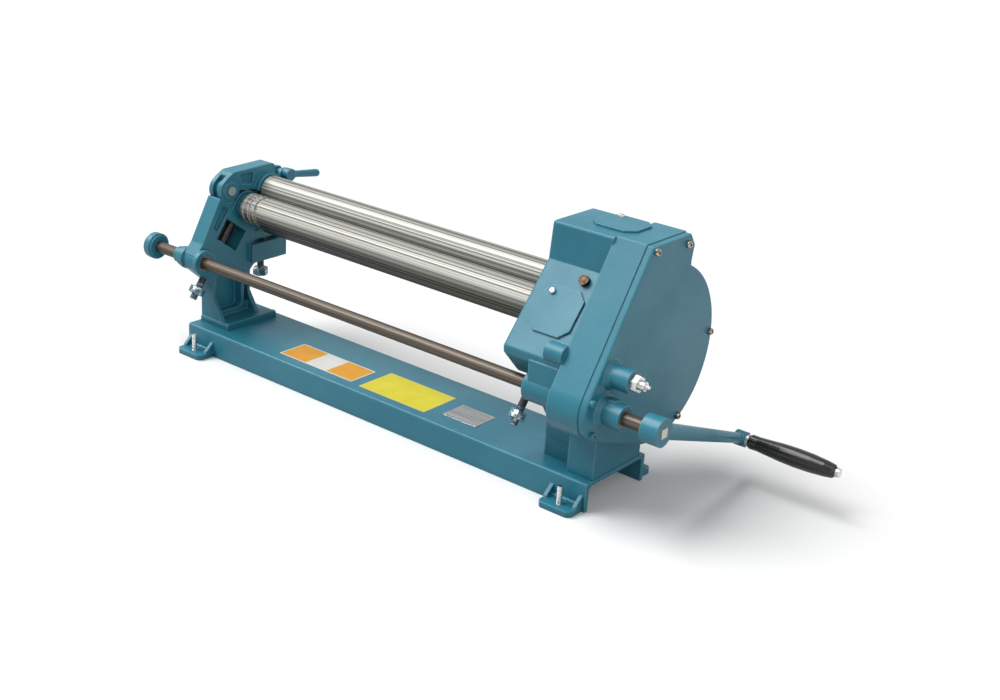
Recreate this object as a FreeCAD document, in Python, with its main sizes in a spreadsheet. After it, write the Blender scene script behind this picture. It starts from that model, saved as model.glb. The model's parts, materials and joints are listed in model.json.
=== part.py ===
import FreeCAD, Part
import Sketcher
import math
import os
import types

# Slip roll machine: three rolls between an end frame and a gear housing, on a channel base.
# Millimetres. X runs along the rolls to the crank, Z is up, and the origin is on the floor
# in the middle of the four foot studs.

DRIVING = {
    # channel base and feet
    "base_width": 152,
    "base_height": 45,
    "base_web": 6,
    "base_flange": 7,
    "foot_length": 58,
    "foot_reach": 32,
    "foot_plate": 9,
    "foot_rib": 6,
    "foot_rib_height": 17,
    "foot_inset": 34,
    "stud_diameter": 8,
    "stud_height": 37,
    "stud_offset": 17,
    "stud_shoulder": 10.2,
    "stud_lead": 1.5,
    "foot_round": 9,
    "bolt_diameter": 10,
    # rolls
    "roll_diameter": 52,
    "roll_length": 658,
    "roll_shoulder": 11,
    "roll_end_gap": 1,
    "sheet_gap": 1,
    "roll_journal": 24,
    "roll_y": 75,
    "top_roll_z": 270,
    "bend_roll_y": 26.5,
    "bend_roll_z": 247,
    "slide_angle": 54,
    "groove_pitch": 14,
    "running_clearance": 0.08,
    "slide_clearance": 0.2,
    # end frame
    "frame_setback": 4,
    "frame_thick": 30,
    "frame_foot_length": 70,
    "frame_foot_thick": 11,
    "frame_foot_front": -52,
    "frame_foot_back": 62,
    "column_front": -50,
    "column_back": 36,
    "ear_back": 116,
    "ear_bottom": 138,
    "pocket_depth": 18,
    # yoke, its hinge and the clamp
    "yoke_pivot_y": -10,
    "yoke_pivot_z": 281,
    "yoke_knuckle": 21.5,
    "yoke_top": 315,
    "yoke_end": 95,
    "tongue_end": 112,
    "tongue_thick": 12,
    "pivot_pin": 10,
    "ring_radius": 30,
    "clamp_y": 121,
    "clamp_z": 290,
    "clamp_screw": 10,
    "clamp_lever_length": 72,
    "clamp_slope": -7,
    # sliding bearing blocks
    "bend_block_half": 27,
    "bend_block_down": 37,
    "bend_slot_down": 77,
    "lower_block_half": 18,
    "lower_block_up": 17.5,
    "lower_block_wide": 30,
    "lower_block_down": 36,
    "lower_slot_down": 41,
    "adjust_screw": 12,
    "bend_screw_reach": 186,
    "lower_screw_reach": 112,
    # drive shaft and crank
    "shaft_diameter": 20,
    "shaft_y": -75,
    "shaft_past_frame": 104,
    "shaft_past_case": 112,
    "crank_length": 277,
    "crank_angle": -20.5,
    "grip_length": 143,
    "grip_diameter": 30,
    # gears
    "gear_module": 3,
    "drive_teeth": 21,
    "idler_teeth": 14,
    "bull_teeth": 78,
    "roll_teeth": 17,
    "gear_width": 14,
    "roll_gear_width": 10,
    "gear_gap": 3,
    "stub_radius": 15,
    "roll_way": 17,
    "gear_backlash": 0.3,
    "idler_stud": 14,
    # gear housing and its cover
    "box_depth": 106,
    "case_depth": 53,
    "case_overhang": 3,
    "cover_thick": 12,
    "case_wall": 5,
    "box_front": 5,
    "box_back": 104,
    "housing_top": 388,
    "arc_radius": 139,
    "nose_radius": 48,
    "boss_reach": 36,
    "cover_step": 1.5,
    "slope_drop": 57,
    "slope_foot_y": -94,
    "slope_foot_z": 220,
    "front_angle": 57,
    "plug_past_slope_top": 18,
    "plug_offset": 28,
}


class Size:
    """A value of the sheet, or a sum or product of such values, with the expression for it."""

    def __init__(self, value, text):
        self.value = float(value)
        self.text = text

    def __add__(self, other):
        other = sized(other)
        return Size(self.value + other.value, f"({self.text} + {other.text})")

    def __sub__(self, other):
        other = sized(other)
        return Size(self.value - other.value, f"({self.text} - {other.text})")

    def __mul__(self, other):
        other = sized(other)
        return Size(self.value * other.value, f"({self.text} * {other.text})")

    def __truediv__(self, other):
        other = sized(other)
        return Size(self.value / other.value, f"({self.text} / {other.text})")

    def __neg__(self):
        return Size(-self.value, f"(0 - {self.text})")

    def __radd__(self, other):
        return sized(other) + self

    def __rsub__(self, other):
        return sized(other) - self

    def __rmul__(self, other):
        return sized(other) * self


def sized(number):
    """A plain number as a Size, so that both mix in the same sums."""
    if isinstance(number, Size):
        return number
    return Size(number, f"({float(number)})")


def cosine(angle):
    return Size(math.cos(math.radians(angle.value)), f"cos({angle.text})")


def sine(angle):
    return Size(math.sin(math.radians(angle.value)), f"sin({angle.text})")


def root(number):
    return Size(math.sqrt(number.value), f"sqrt({number.text})")


document = FreeCAD.newDocument("SlipRoll")
sheet = document.addObject("Spreadsheet::Sheet", "Sizes")
for row, (alias, number) in enumerate(DRIVING.items(), start=1):
    sheet.set(f"A{row}", alias)
    sheet.set(f"B{row}", str(number))
    sheet.setAlias(f"B{row}", alias)
document.recompute()
s = types.SimpleNamespace(**{alias: Size(number, f"Sizes.{alias}") for alias, number in DRIVING.items()})

X_AXIS = FreeCAD.Vector(1, 0, 0)
Y_AXIS = FreeCAD.Vector(0, 1, 0)
Z_AXIS = FreeCAD.Vector(0, 0, 1)

kept_parts = []


def keep(feature, label):
    """Give a finished sub-part its label and put it on the list of exported parts."""
    feature.Label = label
    kept_parts.append(feature)
    return feature


def bind(feature, path, size):
    """Set a property of a feature by the expression of a size."""
    feature.setExpression(path, sized(size).text)


def place(feature, x, y, z):
    bind(feature, "Placement.Base.x", x)
    bind(feature, "Placement.Base.y", y)
    bind(feature, "Placement.Base.z", z)


def box(name, x_range, y_range, z_range):
    """A block between two places along each axis."""
    block = document.addObject("Part::Box", name)
    bind(block, "Length", x_range[1] - sized(x_range[0]))
    bind(block, "Width", y_range[1] - sized(y_range[0]))
    bind(block, "Height", z_range[1] - sized(z_range[0]))
    place(block, x_range[0], y_range[0], z_range[0])
    return block


def rod(name, radius, start, length, direction):
    """A round bar from a start point along a fixed direction."""
    bar = document.addObject("Part::Cylinder", name)
    bar.Placement = FreeCAD.Placement(FreeCAD.Vector(), FreeCAD.Rotation(Z_AXIS, direction))
    bind(bar, "Radius", radius)
    bind(bar, "Height", length)
    place(bar, *start)
    return bar


def rod_x(name, radius, x_range, y, z):
    return rod(name, radius, (x_range[0], y, z), x_range[1] - sized(x_range[0]), X_AXIS)


def cone(name, radius_start, radius_end, start, length, direction):
    """A round taper from a start point along a fixed direction."""
    taper = document.addObject("Part::Cone", name)
    taper.Placement = FreeCAD.Placement(FreeCAD.Vector(), FreeCAD.Rotation(Z_AXIS, direction))
    bind(taper, "Radius1", radius_start)
    bind(taper, "Radius2", radius_end)
    bind(taper, "Height", length)
    place(taper, *start)
    return taper


def hexagon(name, flats, start, length, direction):
    """A hexagon bar, measured across its flats."""
    nut = document.addObject("Part::Prism", name)
    nut.Placement = FreeCAD.Placement(FreeCAD.Vector(), FreeCAD.Rotation(Z_AXIS, direction))
    nut.Polygon = 6
    bind(nut, "Circumradius", sized(flats) / math.sqrt(3))
    bind(nut, "Height", length)
    place(nut, *start)
    return nut


def fuse(name, shapes):
    union = document.addObject("Part::MultiFuse", name)
    union.Shapes = shapes
    union.Refine = True
    return union


def cut(name, base, tools):
    """A base with one or more tools taken away; every tool must remove something."""
    document.recompute()
    for tool in tools:
        if base.Shape.common(tool.Shape).Volume < 0.01:
            raise ValueError(f"{tool.Name} removes nothing from {base.Name}")
    taken = tools[0] if len(tools) == 1 else fuse(name + "Tools", tools)
    remainder = document.addObject("Part::Cut", name)
    remainder.Base = base
    remainder.Tool = taken
    remainder.Refine = True
    return remainder


def origin_plane(body, role):
    for feature in body.Origin.OriginFeatures:
        if feature.Role == role:
            return feature
    raise ValueError(role)


def closed_sketch(body, role, corners, name):
    """A closed outline of straight lines; every corner is dimensioned from the origin."""
    sketch = body.newObject("Sketcher::SketchObject", name)
    sketch.AttachmentSupport = [(origin_plane(body, role), "")]
    sketch.MapMode = "FlatFace"
    points = [FreeCAD.Vector(sized(across).value, sized(up).value, 0) for across, up in corners]
    count = len(points)
    for index in range(count):
        sketch.addGeometry(Part.LineSegment(points[index], points[(index + 1) % count]), False)
    for index in range(count):
        sketch.addConstraint(Sketcher.Constraint("Coincident", index, 2, (index + 1) % count, 1))
    for index, (across, up) in enumerate(corners):
        for kind, size in (("DistanceX", sized(across)), ("DistanceY", sized(up))):
            number = sketch.addConstraint(Sketcher.Constraint(kind, -1, 1, index, 1, size.value))
            sketch.setExpression(f"Constraints[{number}]", size.text)
    return sketch


def prism_x(name, corners, x_range, rounds=()):
    """A body whose outline in Y and Z is padded along X; rounds lists (corner number, radius)."""
    body = document.addObject("PartDesign::Body", name)
    sketch = closed_sketch(body, "YZ_Plane", corners, name + "Outline")
    pad = body.newObject("PartDesign::Pad", name + "Pad")
    pad.Profile = sketch
    bind(pad, "Length", x_range[1] - sized(x_range[0]))
    bind(body, "Placement.Base.x", x_range[0])
    document.recompute()
    last = pad
    for radius in sorted({radius.value for _, radius in rounds}):
        chosen = [(corner, size) for corner, size in rounds if size.value == radius]
        names = []
        for corner, _ in chosen:
            spot = [sized(size).value for size in corners[corner]]
            names += edges_along_x(last.Shape, spot)
        fillet = body.newObject("PartDesign::Fillet", f"{name}Round{len(names)}")
        fillet.Base = (last, names)
        bind(fillet, "Radius", chosen[0][1])
        document.recompute()
        last = fillet
    body.Tip = last
    return body


def edges_along_x(shape, spot):
    """Names of the straight edges along X that pass through a point of the outline."""
    found = []
    for number, edge in enumerate(shape.Edges, start=1):
        near = all(abs(v.Y - spot[0]) < 0.01 and abs(v.Z - spot[1]) < 0.01 for v in edge.Vertexes)
        if near and len(edge.Vertexes) == 2:
            found.append(f"Edge{number}")
    return found


def rim_edges(shape, x):
    """Names of the edges round the outside of a solid's flat end at a place along X."""
    for face in shape.Faces:
        box_x = face.BoundBox
        if abs(box_x.XMin - x) < 0.001 and abs(box_x.XMax - x) < 0.001 and face.Area > 2000:
            rim = face.OuterWire.Edges
            return [f"Edge{number}" for number, edge in enumerate(shape.Edges, start=1)
                    if any(edge.isSame(other) for other in rim)]
    raise ValueError(f"no end face at {x}")


def rounded_end(name, base, x, radius):
    """A solid with the outside edge of its end at a place along X rounded off."""
    document.recompute()
    numbers = [int(edge[4:]) for edge in rim_edges(base.Shape, sized(x).value)]
    round_off = document.addObject("Part::Fillet", name)
    round_off.Base = base
    round_off.Edges = [(number, radius, radius) for number in numbers]
    return round_off


def turned(name, outline, y, z):
    """A body turned about X: the outline lists (place along X, radius) above the axis."""
    body = document.addObject("PartDesign::Body", name)
    sketch = closed_sketch(body, "XY_Plane", outline, name + "Outline")
    spin = body.newObject("PartDesign::Revolution", name + "Turned")
    spin.Profile = sketch
    spin.ReferenceAxis = (sketch, ["H_Axis"])
    spin.Angle = 360
    body.Tip = spin
    bind(body, "Placement.Base.y", y)
    bind(body, "Placement.Base.z", z)
    return body


def stepped(name, steps, y, z):
    """A turned bar from steps of (left, right, radius), each step next to the one before."""
    outline = [(steps[0][0], 0)]
    for left, right, radius in steps:
        outline += [(left, radius), (right, radius)]
    outline.append((steps[-1][1], 0))
    return turned(name, outline, y, z)


def toothed_wheel(teeth, phase, x_range, bore):
    """Shape of a spur gear about the X axis, its flanks worked out from the involute."""
    pitch = s.gear_module.value * teeth / 2
    tip = pitch + s.gear_module.value
    foot = pitch - 1.25 * s.gear_module.value
    base = pitch * math.cos(math.radians(20))

    def involute(angle):
        return math.tan(angle) - angle

    def half_angle(radius):
        pressure = math.acos(min(1.0, base / radius))
        thickness = math.pi / (2 * teeth) - s.gear_backlash.value / (2 * pitch)
        return thickness + involute(math.radians(20)) - involute(pressure)

    flank = [(foot, half_angle(base)), (pitch, half_angle(pitch)), (tip, half_angle(tip))]
    corners = []
    for tooth in range(teeth):
        middle = math.radians(phase) + 2 * math.pi * tooth / teeth
        for radius, half in flank:
            corners.append((radius, middle - half))
        for radius, half in reversed(flank):
            corners.append((radius, middle + half))
    left, right = x_range
    points = [FreeCAD.Vector(left.value, r * math.cos(a), r * math.sin(a)) for r, a in corners]
    blank = Part.Face(Part.makePolygon(points + points[:1])).extrude(X_AXIS * (right.value - left.value))
    hole = Part.makeCylinder(bore, right.value - left.value, FreeCAD.Vector(left.value, 0, 0), X_AXIS)
    return blank.cut(hole)


def meshing_phase(leader_teeth, leader_phase, direction, teeth):
    """Angle of a tooth of a gear that meshes with its leader, seen from it in a direction."""
    lead = (direction - leader_phase) * leader_teeth / teeth
    return direction + 180 + lead + 180 / teeth


def gear(name, teeth, phase, x_range, y, z, bore, lightening=()):
    """A gear as a feature; lightening is (count, circle radius, hole radius) for web holes."""
    wheel = toothed_wheel(teeth, phase, x_range, bore)
    if lightening:
        count, circle, radius = lightening
        for number in range(count):
            turn = 2 * math.pi * number / count
            spot = FreeCAD.Vector(x_range[0].value, circle * math.cos(turn), circle * math.sin(turn))
            width = x_range[1].value - x_range[0].value
            wheel = wheel.cut(Part.makeCylinder(radius, width, spot, X_AXIS))
    feature = document.addObject("Part::Feature", name)
    feature.Shape = wheel
    place(feature, 0, y, z)
    return feature


# Places worked out from the sizes

castings_length = s.frame_thick + s.roll_shoulder + s.roll_length + s.roll_end_gap + s.box_depth + s.case_depth
half_length = (s.frame_setback + castings_length - s.case_overhang) / 2
frame_outer = s.frame_setback - half_length
frame_inner = frame_outer + s.frame_thick
frame_middle = (frame_outer + frame_inner) / 2
roll_left = frame_inner + s.roll_shoulder
roll_right = roll_left + s.roll_length
box_left = roll_right + s.roll_end_gap
case_left = box_left + s.box_depth
case_right = case_left + s.case_depth
shaft_left = frame_outer - s.shaft_past_frame
shaft_right = case_right + s.shaft_past_case
half_width = s.base_width / 2
base_inside = half_width - s.base_flange
stud_x = half_length - s.foot_inset
stud_y = half_width + s.stud_offset
roll_radius = s.roll_diameter / 2
journal_radius = s.roll_journal / 2
bore_radius = journal_radius + s.running_clearance
lower_roll_z = s.top_roll_z - s.roll_diameter - s.sheet_gap
slide_cos = cosine(s.slide_angle)
slide_sin = sine(s.slide_angle)
slide_down = FreeCAD.Vector(0, -slide_cos.value, -slide_sin.value)
slide_turn = FreeCAD.Rotation(X_AXIS, s.slide_angle.value - 90)
idler_y = s.roll_y - s.gear_module * (s.idler_teeth + s.bull_teeth) / 2
idler_z = lower_roll_z
first_centres = s.gear_module * (s.drive_teeth + s.idler_teeth) / 2
shaft_z = idler_z - root(first_centres * first_centres - (idler_y - s.shaft_y) * (idler_y - s.shaft_y))
shaft_radius = s.shaft_diameter / 2
shaft_bore = shaft_radius + s.running_clearance
cover_left = case_right
cover_right = case_right + s.cover_thick
case_inner = case_left + s.case_wall
roll_gear_layer = (case_inner + s.gear_gap, case_inner + s.gear_gap + s.roll_gear_width)
hub_pinion_layer = (roll_gear_layer[1] + 2, roll_gear_layer[1] + 2 + s.roll_gear_width)
wheel_layer = (hub_pinion_layer[1], hub_pinion_layer[1] + s.gear_width)
slope_top_z = s.housing_top - s.slope_drop
arc_y = s.roll_y - 6
arc_z = lower_roll_z - 7


def slide_point(along, across):
    """Y and Z of a point given along and across the inclined slide, from the bending roll."""
    y = s.bend_roll_y + along * slide_cos + across * slide_sin
    z = s.bend_roll_z + along * slide_sin - across * slide_cos
    return (y, z)


def split_z(y):
    """Height of the joint face between the frame and the yoke, through both their centres."""
    rise = (s.top_roll_z - s.yoke_pivot_z) / (s.roll_y - s.yoke_pivot_y)
    return s.yoke_pivot_z + rise * (sized(y) - s.yoke_pivot_y)


def base_channel():
    shell = prism_x("ChannelShell", [
        (-half_width, 0), (-half_width, s.base_height), (half_width, s.base_height), (half_width, 0),
        (base_inside, 0), (base_inside, s.base_height - s.base_web),
        (-base_inside, s.base_height - s.base_web), (-base_inside, 0),
    ], (-half_length, half_length), [(1, sized(4)), (2, sized(4)), (5, sized(8)), (6, sized(8))])
    keep(cut("Channel", shell, bolt_rods("ChannelHole")), "base_channel")


def bolt_places():
    """X and Y of the bolts that hold the castings down: four for the frame, four for the housing."""
    front = s.frame_foot_front + 14
    back = s.frame_foot_back - 16
    frame_places = [(frame_outer + 18, front), (frame_outer + 18, back), (frame_outer + 54, front),
                    (frame_outer + 54, back)]
    return frame_places + [(case_left - 48, -30), (case_left - 48, 48), (case_left + 28, -48),
                           (case_left + 28, 48)]


def bolt_rods(name):
    """One rod for each of those bolts, from under the web into the casting."""
    under = s.base_height - s.base_web
    return [rod(name, s.bolt_diameter / 2, (x, y, under), s.base_web + 9, Z_AXIS)
            for x, y in bolt_places()]


def foot(label, side_x, side_y):
    """A welded foot: a round-cornered plate on the floor, two ribs up the flange and a hole."""
    middle = stud_x * side_x
    outer = half_width + s.foot_reach
    y_range = (half_width, outer) if side_y > 0 else (-outer, -half_width)
    x_range = (middle - s.foot_length / 2, middle + s.foot_length / 2)
    corner_y = outer - s.foot_round
    inner_range = (half_width, corner_y) if side_y > 0 else (-corner_y, -half_width)
    tab_range = (x_range[0] + s.foot_round, x_range[1] - s.foot_round)
    pieces = [box(label + "Plate", x_range, inner_range, (0, s.foot_plate)),
              box(label + "Tab", tab_range, y_range, (0, s.foot_plate))]
    for corner_x in tab_range:
        pieces.append(rod(label + "Corner", s.foot_round, (corner_x, corner_y * side_y, 0), s.foot_plate, Z_AXIS))
    for left in (x_range[0], x_range[1] - s.foot_rib):
        near = half_width * side_y
        tip = (half_width + s.foot_reach / 2) * side_y
        pieces.append(prism_x(label + "Rib", [
            (near, s.foot_plate), (tip, s.foot_plate), (tip, s.foot_plate + 3),
            (near, s.foot_plate + s.foot_rib_height),
        ], (left, left + s.foot_rib)))
    hole_radius = s.stud_shoulder / 2 + 0.1
    hole = rod(label + "Hole", hole_radius, (middle, stud_y * side_y, 0), s.foot_plate, Z_AXIS)
    keep(cut(label + "Foot", fuse(label + "Blank", pieces), [hole]), label)


def foot_studs():
    studs = []
    for side_x in (-1, 1):
        for side_y in (-1, 1):
            start = (stud_x * side_x, stud_y * side_y, 0)
            seat = (start[0], start[1], s.stud_lead)
            shoulder = rod("StudShoulder", s.stud_shoulder / 2, seat, s.foot_plate - s.stud_lead, Z_AXIS)
            shank = rod("StudShank", s.stud_diameter / 2, start, s.stud_height, Z_AXIS)
            studs.append(fuse("Stud", [shoulder, shank]))
    group = document.addObject("Part::Compound", "Studs")
    group.Links = studs
    keep(group, "foot_studs")


def slide_prism(name, along_range, across_range, x_range):
    """A block whose outline lies along the inclined slide."""
    corners = [
        slide_point(along_range[0], across_range[0]), slide_point(along_range[0], across_range[1]),
        slide_point(along_range[1], across_range[1]), slide_point(along_range[1], across_range[0]),
    ]
    return prism_x(name, corners, x_range)


def bend_slot(name, x_range, relief):
    """The inclined slot of the bending roll's block, with a round relief at its upper end."""
    half = s.bend_block_half + s.slide_clearance
    straight = slide_prism(name + "Way", (-s.bend_slot_down, sized(0)), (-half, half), x_range)
    end = rod_x(name + "End", relief, x_range, s.bend_roll_y, s.bend_roll_z)
    return [straight, end]


def lower_slot(name, x_range):
    """The upright slot of the lower roll's block, wide at its foot."""
    narrow = s.lower_block_half + s.slide_clearance
    wide = s.lower_block_wide + s.slide_clearance
    top = lower_roll_z + s.lower_block_up + 2
    step = lower_roll_z - 17
    bottom = lower_roll_z - s.lower_slot_down
    neck = box(name + "Neck", x_range, (s.roll_y - narrow, s.roll_y + narrow), (bottom, top))
    foot_part = box(name + "Foot", x_range, (s.roll_y - wide, s.roll_y + wide), (bottom, step))
    return [neck, foot_part]


def adjuster_bore(name, x, reach):
    """The tapped way of an adjusting screw down the slide."""
    start = (x, *slide_point(-s.bend_slot_down + 1, 0))
    return rod(name, s.adjust_screw / 2 + s.running_clearance, start, reach, slide_down)


def gusset(name, x_range, back, width, z_range):
    """A triangular rib that stands on its long side and leans on the face at its left end."""
    rib = document.addObject("Part::Wedge", name)
    rib.Placement = FreeCAD.Placement(FreeCAD.Vector(), FreeCAD.Rotation(X_AXIS, 90))
    bind(rib, "Xmin", 0)
    bind(rib, "Ymin", 0)
    bind(rib, "Zmin", 0)
    bind(rib, "X2min", 0)
    bind(rib, "Z2min", 0)
    bind(rib, "Xmax", x_range[1] - x_range[0])
    bind(rib, "Ymax", z_range[1] - z_range[0])
    bind(rib, "Zmax", width)
    bind(rib, "X2max", 1.5)
    bind(rib, "Z2max", width)
    place(rib, x_range[0], back, z_range[0])
    return rib


def panel_x(name, y_range, z_range, depth, corner):
    """A round-cornered recess in the inner face of the end frame."""
    return prism_x(name, [
        (y_range[0], z_range[0]), (y_range[1], z_range[0]), (y_range[1], z_range[1]), (y_range[0], z_range[1]),
    ], (frame_inner - depth, frame_inner + 1), [(number, sized(corner)) for number in range(4)])


def end_frame():
    """Casting at the left: foot, ribbed column, shaft boss, both slots and the yoke's lugs."""
    x_range = (frame_outer, frame_inner)
    plate = prism_x("FramePlate", [
        (s.column_front, s.base_height), (s.column_front, shaft_z - 45), (s.shaft_y - 14, shaft_z - 12),
        (s.shaft_y - 12, shaft_z + 12), (s.shaft_y + 3, shaft_z + 31),
        (s.yoke_pivot_y - 23, s.top_roll_z), (s.roll_y, s.top_roll_z),
        (s.tongue_end, s.top_roll_z - 8), (s.ear_back, s.top_roll_z - 15), (s.ear_back, s.ear_bottom + 12),
        (s.ear_back - 12, s.ear_bottom), (s.column_back + 10, s.ear_bottom), (s.column_back, s.ear_bottom - 10),
        (s.column_back, s.base_height + 31), (s.column_back + 10, s.base_height),
    ], x_range, [(9, sized(8)), (11, sized(10)), (13, sized(20))])
    slab_top = s.base_height + s.frame_foot_thick
    slab = prism_x("FrameSlab", [
        (s.frame_foot_front, s.base_height), (s.frame_foot_front, slab_top), (s.frame_foot_back, slab_top),
        (s.frame_foot_back, s.base_height),
    ], (frame_outer, frame_outer + s.frame_foot_length), [(1, sized(5)), (2, sized(5))])
    boss = stepped("ShaftBoss", [
        (frame_outer - 8, frame_outer - 1, sized(19.5)), (frame_outer - 1, frame_inner + 2, sized(15.5)),
        (frame_inner + 2, frame_inner + 10, sized(22.5)),
    ], s.shaft_y, shaft_z)
    ribs = [gusset("ColumnRib", (frame_inner - 1, frame_inner + 24), rib_back, 7, (slab_top - 1, slab_top + 34))
            for rib_back in (s.column_front + 7, s.column_back)]
    lug = rod_x("HingeLug", 16, (frame_middle - s.tongue_thick / 2, frame_middle + s.tongue_thick / 2),
                s.yoke_pivot_y, s.yoke_pivot_z)
    ledge = box("EarLedge", (frame_inner, frame_inner + 8), (s.roll_y - 40, s.ear_back),
                (s.ear_bottom + 4, lower_roll_z - s.lower_slot_down))
    fork = [prism_x("ClampLug", [
        (s.yoke_end + 2, s.top_roll_z - 15), (s.yoke_end + 2, s.top_roll_z + 10),
        (s.clamp_y - 9, s.clamp_z + 9), (s.clamp_y + 9, s.clamp_z + 9), (s.clamp_y + 11, s.clamp_z - 8),
        (s.ear_back, s.top_roll_z - 35),
    ], ends, [(2, sized(6)), (3, sized(6))]) for ends in (
        (frame_outer, frame_middle - s.tongue_thick / 2 - 0.4),
        (frame_middle + s.tongue_thick / 2 + 0.4, frame_inner - 0.4))]
    solid = fuse("FrameSolid", [plate, slab, boss, ledge] + ribs + fork)
    wide = (frame_outer - 20, frame_inner + 30)
    below_joint = prism_x("FrameJointCut", [
        (s.yoke_pivot_y - 60, split_z(s.yoke_pivot_y - 60) - 0.2), (s.yoke_end, split_z(s.yoke_end) - 0.2),
        (s.yoke_end, s.yoke_top + 16), (s.yoke_pivot_y - 60, s.yoke_top + 16),
    ], wide)
    knuckle = rod_x("KnuckleCut", s.yoke_knuckle + 0.5, x_range, s.yoke_pivot_y, s.yoke_pivot_z)
    column_panel = panel_x("ColumnPanel", (s.column_front + 7, s.column_back - 20),
                           (slab_top + 8, s.ear_bottom - 4), s.pocket_depth, 9)
    side_panel = panel_x("SidePanel", (s.column_back - 14, s.column_back - 5),
                         (slab_top + 14, s.ear_bottom - 14), s.pocket_depth - 6, 4)
    rim = s.bend_block_half + 6
    front_panel = prism_x("FrontPanel", [
        slide_point(-s.bend_slot_down + 11, -rim), slide_point(-s.bend_slot_down + 11, -rim - 13),
        slide_point(sized(-24), -rim - 17), slide_point(sized(-20), -rim),
    ], (frame_inner - 6, frame_inner + 1), [(0, sized(3)), (1, sized(3)), (2, sized(3)), (3, sized(3))])
    tools = bend_slot("LeftSlot", x_range, s.bend_block_half + 3) + lower_slot("LeftLower", wide)
    tools += [
        below_joint, knuckle, column_panel, side_panel, front_panel,
        rod_x("TopSaddle", bore_radius, x_range, s.roll_y, s.top_roll_z),
        rod_x("ShaftWay", shaft_radius + 3, wide, s.shaft_y, shaft_z),
        rod_x("ClampBore", s.clamp_screw / 2 + s.running_clearance, x_range, s.clamp_y, s.clamp_z),
        rod("LowerTap", s.adjust_screw / 2 + s.running_clearance, (frame_middle, s.roll_y, s.ear_bottom - 2),
            lower_roll_z - s.lower_slot_down - s.ear_bottom + 4, Z_AXIS),
        adjuster_bore("LeftTap", frame_middle, sized(80)),
        *bolt_rods("FrameBoltHole")[:4],
        box("TongueGap", (frame_middle - s.tongue_thick / 2 - 0.4, frame_middle + s.tongue_thick / 2 + 0.4),
            (s.yoke_end, s.ear_back), (split_z(s.tongue_end) - 1, s.clamp_z + 10)),
    ]
    frame = cut("FrameCut", solid, tools)
    neck = prism_x("HingeNeck", [
        (s.yoke_pivot_y - 17, s.yoke_pivot_z - 27), (s.yoke_pivot_y - 13, s.yoke_pivot_z),
        (s.yoke_pivot_y + 13, s.yoke_pivot_z), (s.yoke_pivot_y + 5, s.yoke_pivot_z - 25),
    ], (frame_middle - s.tongue_thick / 2, frame_middle + s.tongue_thick / 2))
    whole = fuse("FrameWhole", [frame, lug, neck])
    pin = rod_x("HingeBore", s.pivot_pin / 2, x_range, s.yoke_pivot_y, s.yoke_pivot_z)
    keep(cut("EndFrame", whole, [pin]), "end_frame")


def yoke():
    """Hinged upper bearing: arm over the top roll's journal, fork at the hinge, tongue behind."""
    x_range = (frame_outer, frame_inner)
    y, z = s.yoke_pivot_y, s.yoke_pivot_z
    arm = prism_x("YokeArm", [
        (y - s.yoke_knuckle, z), (y - 17, z + 12), (y - 7, z + 22), (y + 9, s.yoke_top - 3),
        (s.yoke_end, s.yoke_top), (s.yoke_end, split_z(s.yoke_end) + 0.2), (y, split_z(y) + 0.2),
    ], x_range, [(3, sized(8)), (4, sized(10))])
    knuckle = rod_x("YokeKnuckle", s.yoke_knuckle, x_range, y, z)
    ring = rod_x("YokeRing", s.ring_radius, (frame_inner, roll_left - s.roll_end_gap),
                 s.roll_y, s.top_roll_z)
    boss = rod_x("YokeBoss", s.yoke_knuckle - 6, (frame_inner - 1, frame_inner + 3), y, z)
    tongue = prism_x("YokeTongue", [
        (s.yoke_end - 4, split_z(s.yoke_end - 4) + 0.2), (s.tongue_end, split_z(s.tongue_end) + 0.2),
        (s.tongue_end, s.yoke_top - 20), (s.yoke_end - 4, s.yoke_top - 8),
    ], (frame_middle - s.tongue_thick / 2, frame_middle + s.tongue_thick / 2))
    blank = fuse("YokeBlank", [arm, knuckle, ring, boss, tongue])
    half_fork = s.tongue_thick / 2 + 0.4
    fork = (frame_middle - half_fork, frame_middle + half_fork)
    under = prism_x("YokeUnder", [
        (y + s.yoke_knuckle - 1, split_z(y + s.yoke_knuckle - 1) + 0.2),
        (s.tongue_end + 18, split_z(s.tongue_end + 18) + 0.2), (s.tongue_end + 18, s.top_roll_z - 70),
        (y + s.yoke_knuckle - 1, s.top_roll_z - 70),
    ], (frame_outer - 1, roll_left))
    panel = prism_x("YokePanel", [
        (y + 27, z + 7), (s.roll_y - s.ring_radius - 4, z + 4), (s.roll_y - s.ring_radius - 2, s.yoke_top - 9),
        (y + 22, s.yoke_top - 9),
    ], (frame_inner - 6, frame_inner + 1), [(0, sized(3)), (1, sized(3)), (2, sized(3)), (3, sized(3))])
    tools = [
        under, panel,
        rod_x("YokeBore", bore_radius, (frame_outer - 1, roll_left), s.roll_y, s.top_roll_z),
        rod_x("YokeRelief", s.bend_block_half + 3, x_range, s.bend_roll_y, s.bend_roll_z),
        rod_x("ForkRound", 16.6, fork, y, z),
        box("ForkFront", fork, (y - 30, y - 1), (z - 25, z + 25)),
        box("ForkUnder", fork, (y - 5, y + 25), (z - 25, z - 1)),
        rod_x("YokePinBore", s.pivot_pin / 2 + s.running_clearance, (frame_outer, frame_inner + 4), y, z),
    ]
    keep(cut("Yoke", blank, tools), "top_yoke")
    pin = rod_x("YokePin", s.pivot_pin / 2, (frame_outer - 2, frame_inner + 4), y, z)
    head = rod_x("YokePinHead", s.pivot_pin / 2 + 3, (frame_inner + 3.3, frame_inner + 6), y, z)
    keep(fuse("YokePinWhole", [pin, head]), "yoke_pin")


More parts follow.
